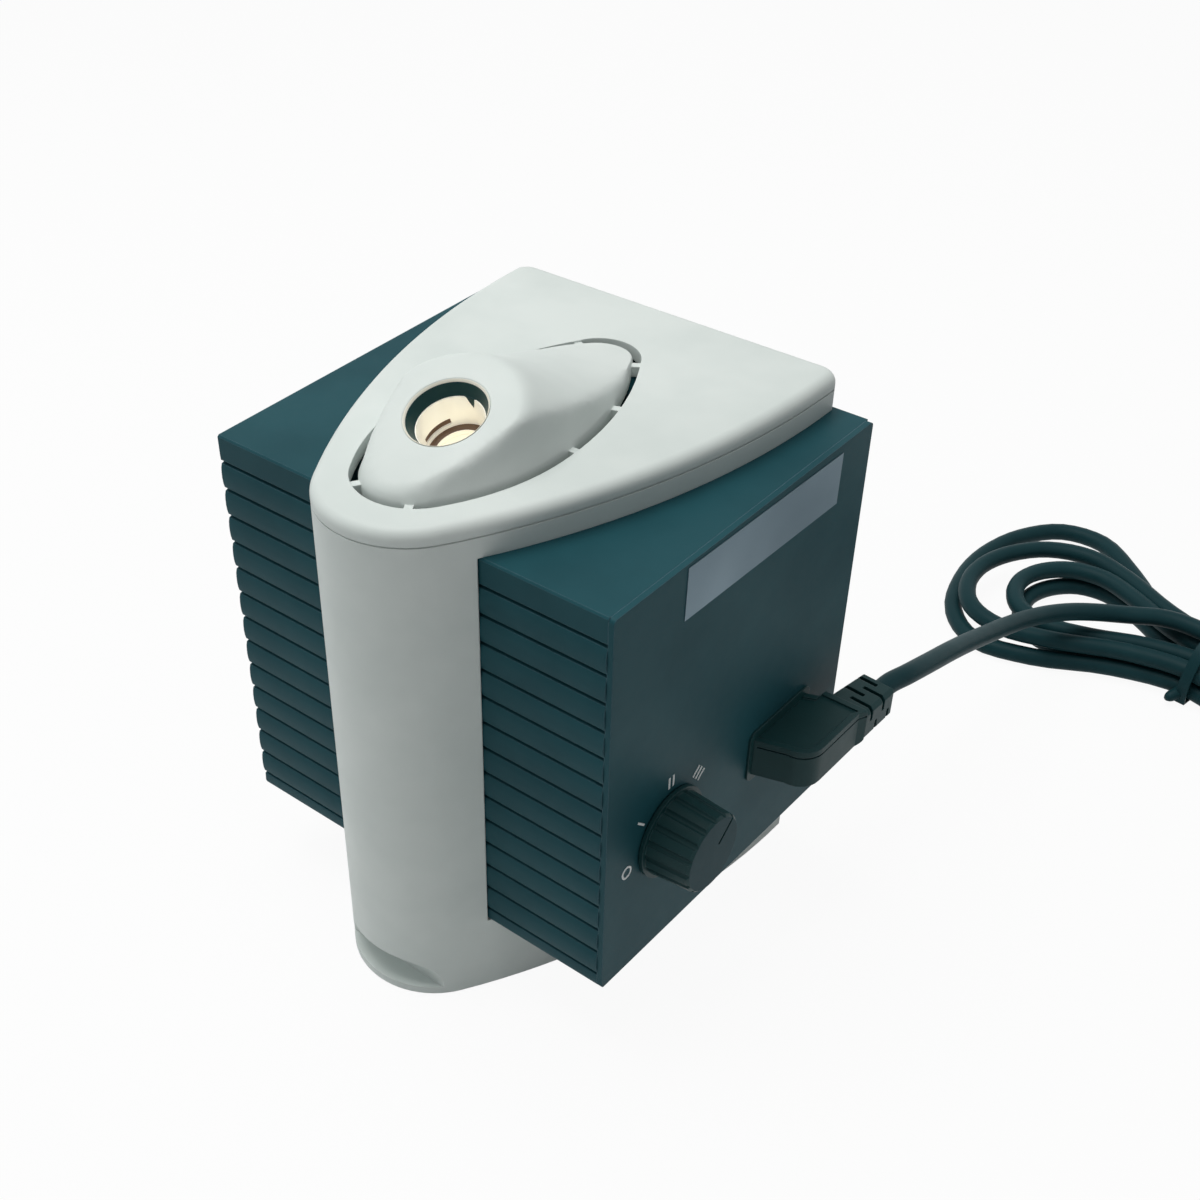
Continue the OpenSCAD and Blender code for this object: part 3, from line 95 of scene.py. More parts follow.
def smooth_line(points: Sequence[Vector], steps: int) -> list[Vector]:
    """Runs a centripetal Catmull-Rom curve through points.

    Args:
        points: The points that the curve passes.
        steps: How many samples each stretch between two points gets.

    Returns:
        The sampled curve, with both ends kept.
    """
    padded = [points[0] * 2 - points[1], *points, points[-1] * 2 - points[-2]]
    line: list[Vector] = []
    for before, start, end, after in zip(padded, padded[1:], padded[2:], padded[3:]):
        knots = [0.0]
        for one, two in ((before, start), (start, end), (end, after)):
            knots.append(knots[-1] + max((two - one).length, 1e-9) ** 0.5)
        for step in range(steps):
            t = knots[1] + (knots[2] - knots[1]) * step / steps
            first = before.lerp(start, (t - knots[0]) / (knots[1] - knots[0]))
            second = start.lerp(end, (t - knots[1]) / (knots[2] - knots[1]))
            third = end.lerp(after, (t - knots[2]) / (knots[3] - knots[2]))
            left = first.lerp(second, (t - knots[0]) / (knots[2] - knots[0]))
            right = second.lerp(third, (t - knots[1]) / (knots[3] - knots[1]))
            line.append(left.lerp(right, (t - knots[1]) / (knots[2] - knots[1])))
    line.append(points[-1].copy())
    return line


def line_length(line: Sequence[Vector]) -> float:
    """Adds up the lengths of a line's stretches."""
    return sum((two - one).length for one, two in zip(line, line[1:]))


class MeshKit:
    """Makes mesh objects from plain geometry, always in the row frame."""

    SHARP_DEG = 32
    TUBE_SHARP_DEG = 50
    COPY_SHARP_DEG = 26
    WELD = 1e-6
    LEVEL = 1e-9

    @staticmethod
    def link(name: str, mesh: bpy.types.Mesh, sharp_deg: float) -> Piece:
        """Puts a mesh into the scene as a shaded object."""
        obj = bpy.data.objects.new(name, mesh)
        bpy.context.scene.collection.objects.link(obj)
        MeshKit.shade(obj, sharp_deg)
        return obj

    @staticmethod
    def build(name: str, points: Iterable[Sequence[float]], faces: Iterable[Sequence[int]],
              sharp_deg: float = SHARP_DEG) -> Piece:
        """Makes a shaded object from points and faces.

        Args:
            name: The object's name.
            points: The corner points in metres.
            faces: The faces as lists of point numbers.
            sharp_deg: Edges that bend by more than this stay sharp.

        Returns:
            The new object, linked to the scene.
        """
        mesh = bpy.data.meshes.new(name)
        mesh.from_pydata([tuple(p) for p in points], [], [tuple(f) for f in faces])
        return MeshKit.link(name, mesh, sharp_deg)

    @staticmethod
    def skin(name: str, rings: Sequence[Sequence[Vector]], round_trip: bool,
             sharp_deg: float = SHARP_DEG) -> Piece:
        """Joins rings of corners by four-sided faces.

        Args:
            name: The object's name.
            rings: Rings with the same number of corners each, in metres.
            round_trip: Whether the last ring joins the first. If not, each end gets a cap.
            sharp_deg: Edges that bend by more than this stay sharp.

        Returns:
            The new object.
        """
        count, corners = len(rings), len(rings[0])
        faces = [[ring * corners + i, ring * corners + (i + 1) % corners,
                  (ring + 1) % count * corners + (i + 1) % corners,
                  (ring + 1) % count * corners + i]
                 for ring in range(count if round_trip else count - 1) for i in range(corners)]
        if not round_trip:
            faces.append(list(range(corners))[::-1])
            faces.append([(count - 1) * corners + i for i in range(corners)])
        return MeshKit.build(name, [p for ring in rings for p in ring], faces, sharp_deg)

    @staticmethod
    def shade(obj: Piece, sharp_deg: float, weld: float = 0.0) -> None:
        """Shades an object smooth and keeps its sharp edges.

        Args:
            obj: The mesh object.
            sharp_deg: Edges that bend by more than this stay sharp.
            weld: Corners closer than this become one, in metres.
        """
        work = bmesh.new()
        work.from_mesh(obj.data)
        if weld:
            bmesh.ops.remove_doubles(work, verts=work.verts, dist=weld)
        bmesh.ops.recalc_face_normals(work, faces=work.faces)
        limit = math.radians(sharp_deg)
        for face in work.faces:
            face.smooth = True
        for edge in work.edges:
            edge.smooth = len(edge.link_faces) == 2 and edge.calc_face_angle(0) < limit
        work.to_mesh(obj.data)
        work.free()
        obj.data.update()

    @staticmethod
    def tube(name: str, line: Sequence[Vector], radius: Callable[[float], float] | float,
             sides: int = 16) -> Piece:
        """Sweeps a closed round tube along a line without twisting it.

        Args:
            name: The object's name.
            line: The points of the centre line, in metres.
            radius: The radius, or a function from the share of the way to the radius.
            sides: How many corners each ring has.

        Returns:
            The new object.
        """
        size = radius if callable(radius) else lambda share: radius
        rings: list[list[Vector]] = []
        side = Vector((0, 0, 1))
        for index, centre in enumerate(line):
            ahead = (line[min(index + 1, len(line) - 1)] - line[max(index - 1, 0)]).normalized()
            side = (side - ahead * side.dot(ahead)).normalized()
            other = ahead.cross(side)
            reach = size(index / (len(line) - 1))
            turns = (2 * math.pi * k / sides for k in range(sides))
            rings.append([centre + (side * math.cos(turn) + other * math.sin(turn)) * reach
                          for turn in turns])
        return MeshKit.skin(name, rings, False, MeshKit.TUBE_SHARP_DEG)

    @staticmethod
    def lathe(name: str, profile: Sequence[tuple[float, float]], place: Matrix,
              sides: int) -> Piece:
        """Turns a closed outline round the local Z axis.

        Args:
            name: The object's name.
            profile: Radius and height pairs in metres, round the section.
            place: The matrix from the local frame to the row frame.
            sides: How many stations the turn has.

        Returns:
            The new object.
        """
        turns = (2 * math.pi * k / sides for k in range(sides))
        rings = [[place @ Vector((r * math.cos(turn), r * math.sin(turn), z))
                  for r, z in profile] for turn in turns]
        return MeshKit.skin(name, rings, True)

    @staticmethod
    def finer_copy(node: str) -> Piece:
        """Copies a CAD node with its faces joined, so that its curves shade smoothly.

        Args:
            node: The CAD node's name.

        Returns:
            The copy, which stands for the node and rides on its body.
        """
        source = bpy.data.objects[node]
        points = [v.co.copy() for v in source.data.vertices]
        faces = [list(p.vertices) for p in source.data.polygons]
        obj = MeshKit.build(node + "_shell", points, faces)
        MeshKit.shade(obj, MeshKit.COPY_SHARP_DEG, weld=MeshKit.WELD)
        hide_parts(node)
        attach(obj, source["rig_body"])
        return obj


# ---- finishes


class Pattern(Enum):
    """Which relief a finish carries besides its grain."""

    NONE = "none"
    BRUSHED = "brushed"
    WOUND = "wound"
    LAMINATED = "laminated"
    TRACES = "traces"


@dataclass(frozen=True)
class Finish:
    """The look of one material.

    Attributes:
        name: The material's name.
        base: Main colour, as 8-bit display values like the others.
        tint: Second colour of the slow variation.
        rough: Middle roughness.
        rough_spread: How far the roughness wanders.
        metal: Metallic share.
        grain: Grains per metre.
        grain_mm: Height of the grain.
        patch: Patches of the slow variation per metre.
        edge: Colour of the painted highlight along convex edges, or None.
        edge_mm: Reach of the edge's softening.
        specular: Specular level.
        coat: Clear coat share.
        clear: Transmission share.
        painted_glow: Painted light given off by a surface that is no lamp, which brightens the
            inside of the port.
        pattern: Extra relief.
        slot: The record's material slot; not used.
    """

    name: str
    base: Colour
    tint: Colour
    rough: float
    slot: str
    rough_spread: float = 0.08
    metal: float = 0.0
    grain: float = 2500
    grain_mm: float = 0.02
    patch: float = 25
    edge: Colour | None = None
    edge_mm: float = 0.5
    specular: float = 0.5
    coat: float = 0.0
    clear: float = 0.0
    painted_glow: float = 0.0
    pattern: Pattern = Pattern.NONE


class Finishes(Enum):
    """Every finish of the object."""

    SHELL = Finish("shell_plastic", (219, 226, 223), (211, 219, 216), 0.5, "light_shell",
                   grain=1900, grain_mm=0.018, edge=(234, 239, 237), edge_mm=0.5,
                   specular=0.35)
    CASE = Finish("case_coat", (29, 74, 82), (24, 67, 75), 0.5, "dark_case",
                  grain=2600, grain_mm=0.02, edge=(88, 116, 128), edge_mm=0.45,
                  specular=0.1)
    BLACK = Finish("black_plastic", (18, 57, 59), (14, 50, 52), 0.46, "black_plastic",
                   grain=3000, grain_mm=0.014, edge=(44, 70, 74), edge_mm=0.4,
                   specular=0.18)
    # Painted light: the knob face's copy of the black plastic, tuned to how light the face shows
    # under the lamps, with a lighter painted highlight on its edges.
    FACE = Finish("knob_face", (20, 58, 65), (16, 52, 59), 0.5, "black_plastic",
                  grain=2600, grain_mm=0.008, edge=(66, 98, 104), edge_mm=0.3,
                  specular=0.08)
    CORD = Finish("cord_jacket", (23, 57, 62), (18, 50, 55), 0.5, "cord",
                  grain=1500, grain_mm=0.02, specular=0.1)
    # Painted light: the near-white colour, pale edge and glow stand in for the bright reflection of
    # light falling into the port; the parts inside that share this finish glow too.
    BRASS = Finish("turned_brass", (255, 253, 244), (254, 246, 226), 0.24, "brass",
                   metal=0.12, grain=900, grain_mm=0.006, edge=(255, 250, 232), edge_mm=0.3,
                   painted_glow=0.2, pattern=Pattern.BRUSHED)
    # Painted light: the window's glow brightens it as if lit through the port; the lamp behind gives
    # no light.
    WINDOW = Finish("frosted_window", (255, 251, 234), (250, 244, 224), 0.3, "glass",
                    grain_mm=0.004, clear=0.15, painted_glow=0.2)
    # A pale cream for the thin ring on the port's mouth: a painted highlight.
    MOUTH_HIGHLIGHT = Finish("mouth_highlight_paint", (255, 252, 240), (250, 246, 230), 0.4, "light_shell",
                  grain_mm=0.008)
    PIN = Finish("plug_brass", (214, 186, 120), (196, 166, 100), 0.3, "brass",
                 metal=1.0, grain=900, grain_mm=0.006, pattern=Pattern.BRUSHED)
    # A dark brown for the painted shadow on the sleeve's floor and in its bayonet slot, and for the
    # small pip on the window.
    PORT_DARK = Finish("port_dark_paint", (112, 84, 62), (84, 62, 46), 0.42, "brass",
                  grain=1200, grain_mm=0.01)
    STEEL = Finish("zinc_steel", (176, 179, 180), (150, 155, 158), 0.34, "steel",
                   metal=1.0, grain=700, grain_mm=0.01)
    LABEL = Finish("label_foil", (108, 130, 142), (88, 110, 122), 0.4, "label",
                   metal=0.6, grain=900, grain_mm=0.008, patch=14, pattern=Pattern.BRUSHED)
    PRINT = Finish("dial_print", (246, 249, 249), (236, 240, 240), 0.6, "print",
                   grain=5000, grain_mm=0.01)
    PAD = Finish("foot_rubber", (28, 30, 31), (38, 40, 41), 0.75, "pad",
                 grain=1500, grain_mm=0.06)
    GLASS = Finish("lamp_glass", (240, 248, 250), (232, 244, 248), 0.05, "glass",
                   rough_spread=0.02, grain_mm=0.002, clear=0.9)
    REFLECTOR = Finish("reflector_foil", (232, 234, 235), (220, 224, 226), 0.14,
                       "reflector", metal=1.0, grain=400, grain_mm=0.01)
    CORE = Finish("core_sheets", (70, 72, 75), (56, 58, 62), 0.5, "core",
                  metal=0.7, grain_mm=0.02, pattern=Pattern.LAMINATED)
    COPPER = Finish("enamelled_wire", (176, 98, 52), (150, 78, 40), 0.3, "copper",
                    metal=0.9, grain_mm=0.01, coat=0.4, pattern=Pattern.WOUND)
    WHITE = Finish("white_nylon", (226, 224, 214), (214, 211, 200), 0.45,
                   "white_plastic", grain_mm=0.015)
    CERAMIC = Finish("glazed_ceramic", (232, 226, 210), (222, 214, 196), 0.25,
                     "ceramic", grain=600, grain_mm=0.02, coat=0.5)
    BOARD = Finish("lacquered_board", (22, 92, 52), (16, 74, 42), 0.35, "board",
                   grain_mm=0.01, coat=0.3, pattern=Pattern.TRACES)
    LEAD = Finish("lead_sleeve", (150, 34, 28), (130, 26, 22), 0.5, "lead_red",
                  grain_mm=0.02)


class ShaderTree:
    """A thin wrapper that adds and links shader nodes."""

    def __init__(self, tree: bpy.types.NodeTree) -> None:
        """Keeps the node tree that it works on."""
        self.tree = tree

    def add(self, kind: str, settings: dict[str, object] | None = None,
            **inputs: object) -> bpy.types.Node:
        """Adds a node.

        Args:
            kind: Blender's node type.
            settings: Properties of the node itself.
            **inputs: Values or sockets by input name, with _ for a space.

        Returns:
            The new node.
        """
        node = self.tree.nodes.new(kind)
        for key, value in (settings or {}).items():
            setattr(node, key, value)
        for key, value in inputs.items():
            self.put(node, key.replace("_", " "), value)
        return node

    def put(self, node: bpy.types.Node, name: str | int, value: object) -> None:
        """Sets an input to a value, or links it to an output socket."""
        socket = node.inputs[name]
        if isinstance(value, Socket):
            self.tree.links.new(value, socket)
        else:
            socket.default_value = value

    def math(self, operation: str, *values: object) -> Socket:
        """Adds a math node and returns its output."""
        node = self.tree.nodes.new("ShaderNodeMath")
        node.operation = operation
        for index, value in enumerate(values):
            self.put(node, index, value)
        return node.outputs[0]

    def mix(self, share: object, one: object, two: object) -> Socket:
        """Mixes two colours by a share."""
        node = self.add("ShaderNodeMix", {"data_type": "RGBA"})
        self.put(node, 0, share)
        self.put(node, 6, one)
        self.put(node, 7, two)
        return node.outputs[2]


class SharedEffects:
    """Builds the node groups that all the finishes share."""

    TINT_FROM, TINT_TO = 0.35, 0.65
    DUST_TO_GRAIN = 0.12
    # Scale and gain of the noise that breaks up the painted highlight on convex edges.
    HIGHLIGHT_NOISE_SCALE = 420.0
    HIGHLIGHT_NOISE_GAIN = 7.0

    @staticmethod
    def _group(name: str, inputs: dict[str, float | None],
               outputs: dict[str, str]) -> tuple[ShaderTree, bpy.types.Node, bpy.types.Node]:
        """Makes an empty group with its sockets.

        Args:
            name: The group's name.
            inputs: Default by input name. None makes a colour socket.
            outputs: Socket type by output name.

        Returns:
            The group's wrapper, its input node and its output node.
        """
        group = bpy.data.node_groups.new(name, "ShaderNodeTree")
        for label, default in inputs.items():
            kind = "NodeSocketColor" if default is None else "NodeSocketFloat"
            socket = group.interface.new_socket(label, in_out="INPUT", socket_type=kind)
            if default is not None:
                socket.default_value = default
        for label, kind in outputs.items():
            group.interface.new_socket(label, in_out="OUTPUT", socket_type="NodeSocket" + kind)
        shader = ShaderTree(group)
        return shader, shader.add("NodeGroupInput"), shader.add("NodeGroupOutput")

    @staticmethod
    def surface() -> bpy.types.NodeTree:
        """Grain, slow colour patches and wandering roughness, as one group."""
        shader, given, out = SharedEffects._group(
            "surface_life", {"Grain": Finish.grain, "Patch": Finish.patch, "Rough": 0.5,
                             "Spread": Finish.rough_spread, "Base": None, "Tint": None},
            {"Colour": "Color", "Roughness": "Float", "Height": "Float"})
        where = shader.add("ShaderNodeTexCoord").outputs["Object"]
        slow = shader.add("ShaderNodeTexNoise", Vector=where, Scale=given.outputs["Patch"],
                          Detail=3.0, Roughness=0.6)
        fine = shader.add("ShaderNodeTexNoise", Vector=where, Scale=given.outputs["Grain"],
                          Detail=2.0, Roughness=0.55)
        dust_scale = shader.math("MULTIPLY", given.outputs["Grain"],
                                 SharedEffects.DUST_TO_GRAIN)
        dust = shader.add("ShaderNodeTexNoise", Vector=where, Scale=dust_scale, Detail=6.0)
        share = shader.add("ShaderNodeMapRange", Value=slow.outputs[0])
        shader.put(share, "From Min", SharedEffects.TINT_FROM)
        shader.put(share, "From Max", SharedEffects.TINT_TO)
        colour = shader.mix(share.outputs[0], given.outputs["Base"], given.outputs["Tint"])
        wander = shader.math("ADD", shader.math("SUBTRACT", slow.outputs[0], 0.5),
                             shader.math("SUBTRACT", dust.outputs[0], 0.5))
        rough = shader.math("ADD", given.outputs["Rough"],
                            shader.math("MULTIPLY", wander, given.outputs["Spread"]))
        shader.put(out, "Colour", colour)
        shader.put(out, "Roughness", rough)
        shader.put(out, "Height", fine.outputs[0])
        return shader.tree

    @staticmethod
    def edges() -> bpy.types.NodeTree:
        """A mask of the convex edges, broken up by noise, for a painted highlight there, and the
        softened normal there, as one group.
        """
        shader, given, out = SharedEffects._group(
            "soft_edges", {"Reach": Finish.edge_mm * MM}, {"Mask": "Float", "Normal": "Vector"})
        bevel = shader.add("ShaderNodeBevel", {"samples": 6}, Radius=given.outputs["Reach"])
        truth = shader.add("ShaderNodeNewGeometry")
        dot = shader.add("ShaderNodeVectorMath", {"operation": "DOT_PRODUCT"})
        shader.put(dot, 0, bevel.outputs[0])
        shader.put(dot, 1, truth.outputs["Normal"])
        bent = shader.math("SUBTRACT", 1.0, dot.outputs["Value"])
        noise = shader.add("ShaderNodeTexNoise", Scale=SharedEffects.HIGHLIGHT_NOISE_SCALE, Detail=4.0,
                           Vector=shader.add("ShaderNodeTexCoord").outputs["Object"])
        # The mask of the painted edge highlight: how much the normal bends, times noise.
        painted_edge_light = shader.math("MULTIPLY", bent, shader.math("MULTIPLY", noise.outputs[0],
                                                         SharedEffects.HIGHLIGHT_NOISE_GAIN))
        shader.put(out, "Mask", shader.math("MINIMUM", painted_edge_light, 1.0))
        shader.put(out, "Normal", bevel.outputs[0])
        return shader.tree


class Paint:
    """Makes each finish's material once and hands it out."""

    GLASS_IOR = 1.47
    GROOVE_SHADE = 0.45
    BRUSH_STRETCH, BRUSH_MM = (60, 60, 9000), 0.02
    TRACE_CELLS, TRACE_WIDTH, TRACE_MM = 220.0, 0.06, 0.03
    BANDS = {Pattern.WOUND: ("Z", 176.0), Pattern.LAMINATED: ("Y", 304.0)}
    BAND_MM = 0.2

    def __init__(self) -> None:
        """Builds the shared groups."""
        self.surface = SharedEffects.surface()
        self.edges = SharedEffects.edges()
        self.made: dict[Finishes, bpy.types.Material] = {}

    def of(self, which: Finishes) -> bpy.types.Material:
        """Returns the material of a finish, made at its first use."""
        if which not in self.made:
            self.made[which] = self._make(which.value)
        return self.made[which]

    def _make(self, finish: Finish) -> bpy.types.Material:
        """Builds a finish as a material whose main shader holds its own constants."""
        material = bpy.data.materials.new(finish.name)
        material.use_nodes = True
        material.diffuse_color = (*srgb(*finish.base), 1)
        shader = ShaderTree(material.node_tree)
        main = material.node_tree.nodes["Principled BSDF"]
        base, tint = (*srgb(*finish.base), 1), (*srgb(*finish.tint), 1)
        # The emission carries the painted glow: painted light from surfaces that are no lamp.
        for name, value in (("Metallic", finish.metal), ("Specular IOR Level", finish.specular),
                            ("Coat Weight", finish.coat), ("Transmission Weight", finish.clear),
                            ("Emission Color", base), ("Emission Strength", finish.painted_glow)):
            main.inputs[name].default_value = value
        if finish.clear:
            main.inputs["IOR"].default_value = Paint.GLASS_IOR
        life = shader.add("ShaderNodeGroup", {"node_tree": self.surface})
        for name, value in (("Grain", finish.grain), ("Patch", finish.patch),
                            ("Rough", finish.rough), ("Spread", finish.rough_spread),
                            ("Base", base), ("Tint", tint)):
            shader.put(life, name, value)
        colour = life.outputs["Colour"]
        normal = None
        if finish.edge:
            soft = shader.add("ShaderNodeGroup", {"node_tree": self.edges},
                              Reach=finish.edge_mm * MM)
            # Convex edges get the lighter edge colour: a painted highlight.
            colour = shader.mix(soft.outputs["Mask"], colour, (*srgb(*finish.edge), 1))
            normal = soft.outputs["Normal"]
        height = life.outputs["Height"]
        bump = shader.add("ShaderNodeBump", Height=height, Strength=1.0,
                          Distance=finish.grain_mm * MM)
        if normal:
            shader.put(bump, "Normal", normal)
        relief = self._relief(shader, finish)
        if relief:
            depth, mm = relief
            bump = shader.add("ShaderNodeBump", Height=depth, Strength=1.0, Distance=mm * MM,
                              Normal=bump.outputs[0])
            if finish.pattern is not Pattern.BRUSHED:
                dark = (*(part * Paint.GROOVE_SHADE for part in base[:3]), 1)
                colour = shader.mix(depth, dark, colour)
        shader.put(main, "Base Color", colour)
        shader.put(main, "Roughness", life.outputs["Roughness"])
        shader.put(main, "Normal", bump.outputs[0])
        return material

    @staticmethod
    def _relief(shader: ShaderTree, finish: Finish) -> tuple[Socket, float] | None:
        """Builds a pattern's height.

        Args:
            shader: The material's wrapper.
            finish: The finish.

        Returns:
            The height's socket and its depth in millimetres, or None without a pattern.
        """
        if finish.pattern is Pattern.NONE:
            return None
        where = shader.add("ShaderNodeTexCoord").outputs["Object"]
        if finish.pattern is Pattern.BRUSHED:
            scaled = shader.add("ShaderNodeMapping", Vector=where, Scale=Paint.BRUSH_STRETCH)
            lines = shader.add("ShaderNodeTexNoise", Vector=scaled.outputs[0], Scale=1.0,
                               Detail=3.0)
            return lines.outputs[0], Paint.BRUSH_MM
        if finish.pattern is Pattern.TRACES:
            cells = shader.add("ShaderNodeTexVoronoi", {"feature": "DISTANCE_TO_EDGE"},
                               Vector=where, Scale=Paint.TRACE_CELLS)
            return shader.math("GREATER_THAN", cells.outputs["Distance"],
                               Paint.TRACE_WIDTH), Paint.TRACE_MM
        axis, scale = Paint.BANDS[finish.pattern]
        wave = shader.add("ShaderNodeTexWave", {"bands_direction": axis}, Vector=where,
                          Scale=scale, Distortion=0.0)
        return wave.outputs[1], Paint.BAND_MM

    def coat(self, obj: Piece, which: Finishes) -> Piece:
        """Gives an object one finish.

        Args:
            obj: A CAD node's object or a new piece.
            which: The finish.

        Returns:
            The same object.
        """
        obj.data.materials.clear()
        obj.data.materials.append(self.of(which))
        return obj


# ---- camera, light and floor


@dataclass(frozen=True)
class CameraSize:
    """Where the camera stands, fitted to the photograph.

    Attributes:
        place_mm: The camera's place in the row frame.
        yaw_deg: Turn about the vertical, from looking along +Y towards -X.
        down_deg: How far it looks down.
        roll_deg: Roll about the line of sight.
        lens_mm: Focal length on a 36 mm wide sensor.
        shift: Shift of the frame as a share of its width, right and up.
    """

    place_mm: Point = (281.26, -283.80, 439.21)
    yaw_deg: float = 43.12
    down_deg: float = 40.04
    roll_deg: float = -2.62
    lens_mm: float = 50.04
    shift: tuple[float, float] = (0.1267, 0.0967)


@dataclass(frozen=True)
class SoftLight:
    """A square soft light.

    Attributes:
        name: The light's name.
        place: Where it hangs, in metres.
        aim: The point that it faces.
        width: Its side.
        power: Its power in watts.
        tone: Its colour.
    """

    name: str
    place: Point
    aim: Point
    width: float
    power: float
    tone: Colour


class Studio:
    """The camera, the soft lights and the pale floor."""

    LIGHTS = (
        SoftLight("key_light", (-0.24, -0.02, 1.35), (0, 0.05, 0.12), 0.9, 12.8, (1, 1, 0.98)),
        SoftLight("left_light", (-1.2, -0.7, 0.7), (0, 0, 0.1), 0.8, 2.5, (0.97, 1, 1)),
        SoftLight("right_light", (1.35, -0.25, 0.45), (0.08, 0.05, 0.1), 0.7, 0.3, (0.98, 1, 1)))
    ROOM_TONE, ROOM_LIGHT = (0.96, 0.98, 1.0, 1), 0.2
    FLOOR_TONE, FLOOR_REACH, FLOOR_GLOW = (0.8, 0.81, 0.81, 1), 6.0, 0.94

    def __init__(self, size: CameraSize) -> None:
        """Keeps the camera's facts."""
        self.size = size

    def build(self) -> None:
        """Makes the camera, the lights, the world and the floor."""
        self._camera()
        self._world()
        for light in self.LIGHTS:
            self._area(light)
        self._floor()

    def _camera(self) -> None:
        """Stands the camera at the photograph's angle."""
        size = self.size
        data = bpy.data.cameras.new("photo_camera")
        data.sensor_width = 36
        data.lens = size.lens_mm
        data.shift_x, data.shift_y = size.shift
        data.clip_start, data.clip_end = 0.02, 20
        camera = bpy.data.objects.new("photo_camera", data)
        bpy.context.scene.collection.objects.link(camera)
        camera.matrix_world = (
            Matrix.Translation(Vector(size.place_mm) * MM)
            @ Matrix.Rotation(math.radians(size.yaw_deg), 4, "Z")
            @ Matrix.Rotation(math.radians(90 - size.down_deg), 4, "X")
            @ Matrix.Rotation(math.radians(size.roll_deg), 4, "Z"))
        bpy.context.scene.camera = camera

    @staticmethod
    def _show_white(shader: ShaderTree, plain: Socket, white: str, out: str,
                    share: float) -> None:
        """Shows white to camera, mirror and glass rays, and leaves the light a plain shader.

        Args:
            shader: The wrapper of the world's or the floor's tree.
            plain: The shader that the other rays meet.
            white: Node type of the white shader.
            out: Name of the output node.
            share: How much white the first rays see.
        """
        path = shader.add("ShaderNodeLightPath").outputs
        seen = shader.math("MAXIMUM", path["Is Camera Ray"], path["Is Glossy Ray"])
        seen = shader.math("MAXIMUM", seen, path["Is Transmission Ray"])
        both = shader.add("ShaderNodeMixShader")
        shader.put(both, 0, shader.math("MULTIPLY", seen, share))
        shader.put(both, 1, plain)
        shader.put(both, 2, shader.add(white, Color=(1, 1, 1, 1), Strength=1.0).outputs[0])
        shader.put(shader.tree.nodes[out], "Surface", both.outputs[0])

    @staticmethod
    def _world() -> None:
        """Lights everything softly with a pale world."""
        world = bpy.data.worlds.new("pale_room")
        world.use_nodes = True
        shader = ShaderTree(world.node_tree)
        soft = world.node_tree.nodes["Background"]
        shader.put(soft, "Color", Studio.ROOM_TONE)
        shader.put(soft, "Strength", Studio.ROOM_LIGHT)
        Studio._show_white(shader, soft.outputs[0], "ShaderNodeBackground", "World Output", 1.0)
        bpy.context.scene.world = world
        bpy.context.scene.view_settings.view_transform = "Standard"

    @staticmethod
    def _area(light: SoftLight) -> None:
        """Hangs one square soft light."""
        data = bpy.data.lights.new(light.name, "AREA")
        data.size, data.energy, data.color = light.width, light.power, light.tone
        lamp = bpy.data.objects.new(light.name, data)
        bpy.context.scene.collection.objects.link(lamp)
        lamp.location = light.place
        aim = Vector(light.aim) - Vector(light.place)
        lamp.rotation_euler = aim.to_track_quat("-Z", "Y").to_euler()

    @staticmethod
    def _floor() -> None:
        """Lays the plain pale floor."""
        far = Studio.FLOOR_REACH
        floor = MeshKit.build("floor", [(-far, -far, 0), (far, -far, 0), (far, far, 0),
                                        (-far, far, 0)], [[0, 1, 2, 3]])
        material = bpy.data.materials.new("floor_paper")
        material.use_nodes = True
        main = material.node_tree.nodes["Principled BSDF"]
        main.inputs["Base Color"].default_value = Studio.FLOOR_TONE
        main.inputs["Roughness"].default_value = 0.85
        main.inputs["Specular IOR Level"].default_value = 0.1
        Studio._show_white(ShaderTree(material.node_tree), main.outputs[0],
                           "ShaderNodeEmission", "Material Output", Studio.FLOOR_GLOW)
        floor.data.materials.append(material)


# ---- mains cord


@dataclass(frozen=True)
class CordSize:
    """Sizes of the mains cord and its hank, in millimetres, as in the part's source.

    Attributes:
        diameter: Thickness of the cord.
        gap: Least space between two strands.
        table_gap: Space between the lowest strand and the table.
        tie: Place of the tie on the table.
        turn_deg: How far the hank is turned.
        tie_lift: How much the strands rise at the tie.
        boot_root: Where the strain relief starts.
        boot_tilt_deg: Tilt of the strain relief.
        boot_len: Length of the strain relief.
        hank_step: Degrees from point to point in the hank.
        hank_last: The last angle of the hank.
    """

    diameter: float = 7.3
    gap: float = 0.9
    table_gap: float = 0.45
    tie: tuple[float, float] = (150, 306)
    turn_deg: float = -6
    tie_lift: float = 1.4
    boot_root: Point = (90.2, 113.5, 77)
    boot_tilt_deg: float = 4.3
    boot_len: float = 18.3
    hank_step: int = 15
    hank_last: int = 1470


@dataclass(frozen=True)
class TieSize:
    """Sizes of the wire tie round the hank, in millimetres.

    Attributes:
        side_gap: Space between the strands and the tie at the sides.
        top_gap: The same above the strands.
        half_width: Half the flat tie's width.
        half_thick: Half its thickness.
        end_len: Length of the twisted ends.
        end_r: Radius of their twist.
        end_turns: Turns of their twist.
        wire_r: Radius of each twisted wire.
        knot_r: Radius of the knot on the other side.
        knot_len: Length of the knot.
    """

    side_gap: float = 1.1
    top_gap: float = 1.0
    half_width: float = 2.2
    half_thick: float = 0.45
    end_len: float = 9.5
    end_r: float = 1.0
    end_turns: float = 2.6
    wire_r: float = 0.75
    knot_r: float = 2.4
    knot_len: float = 6.0


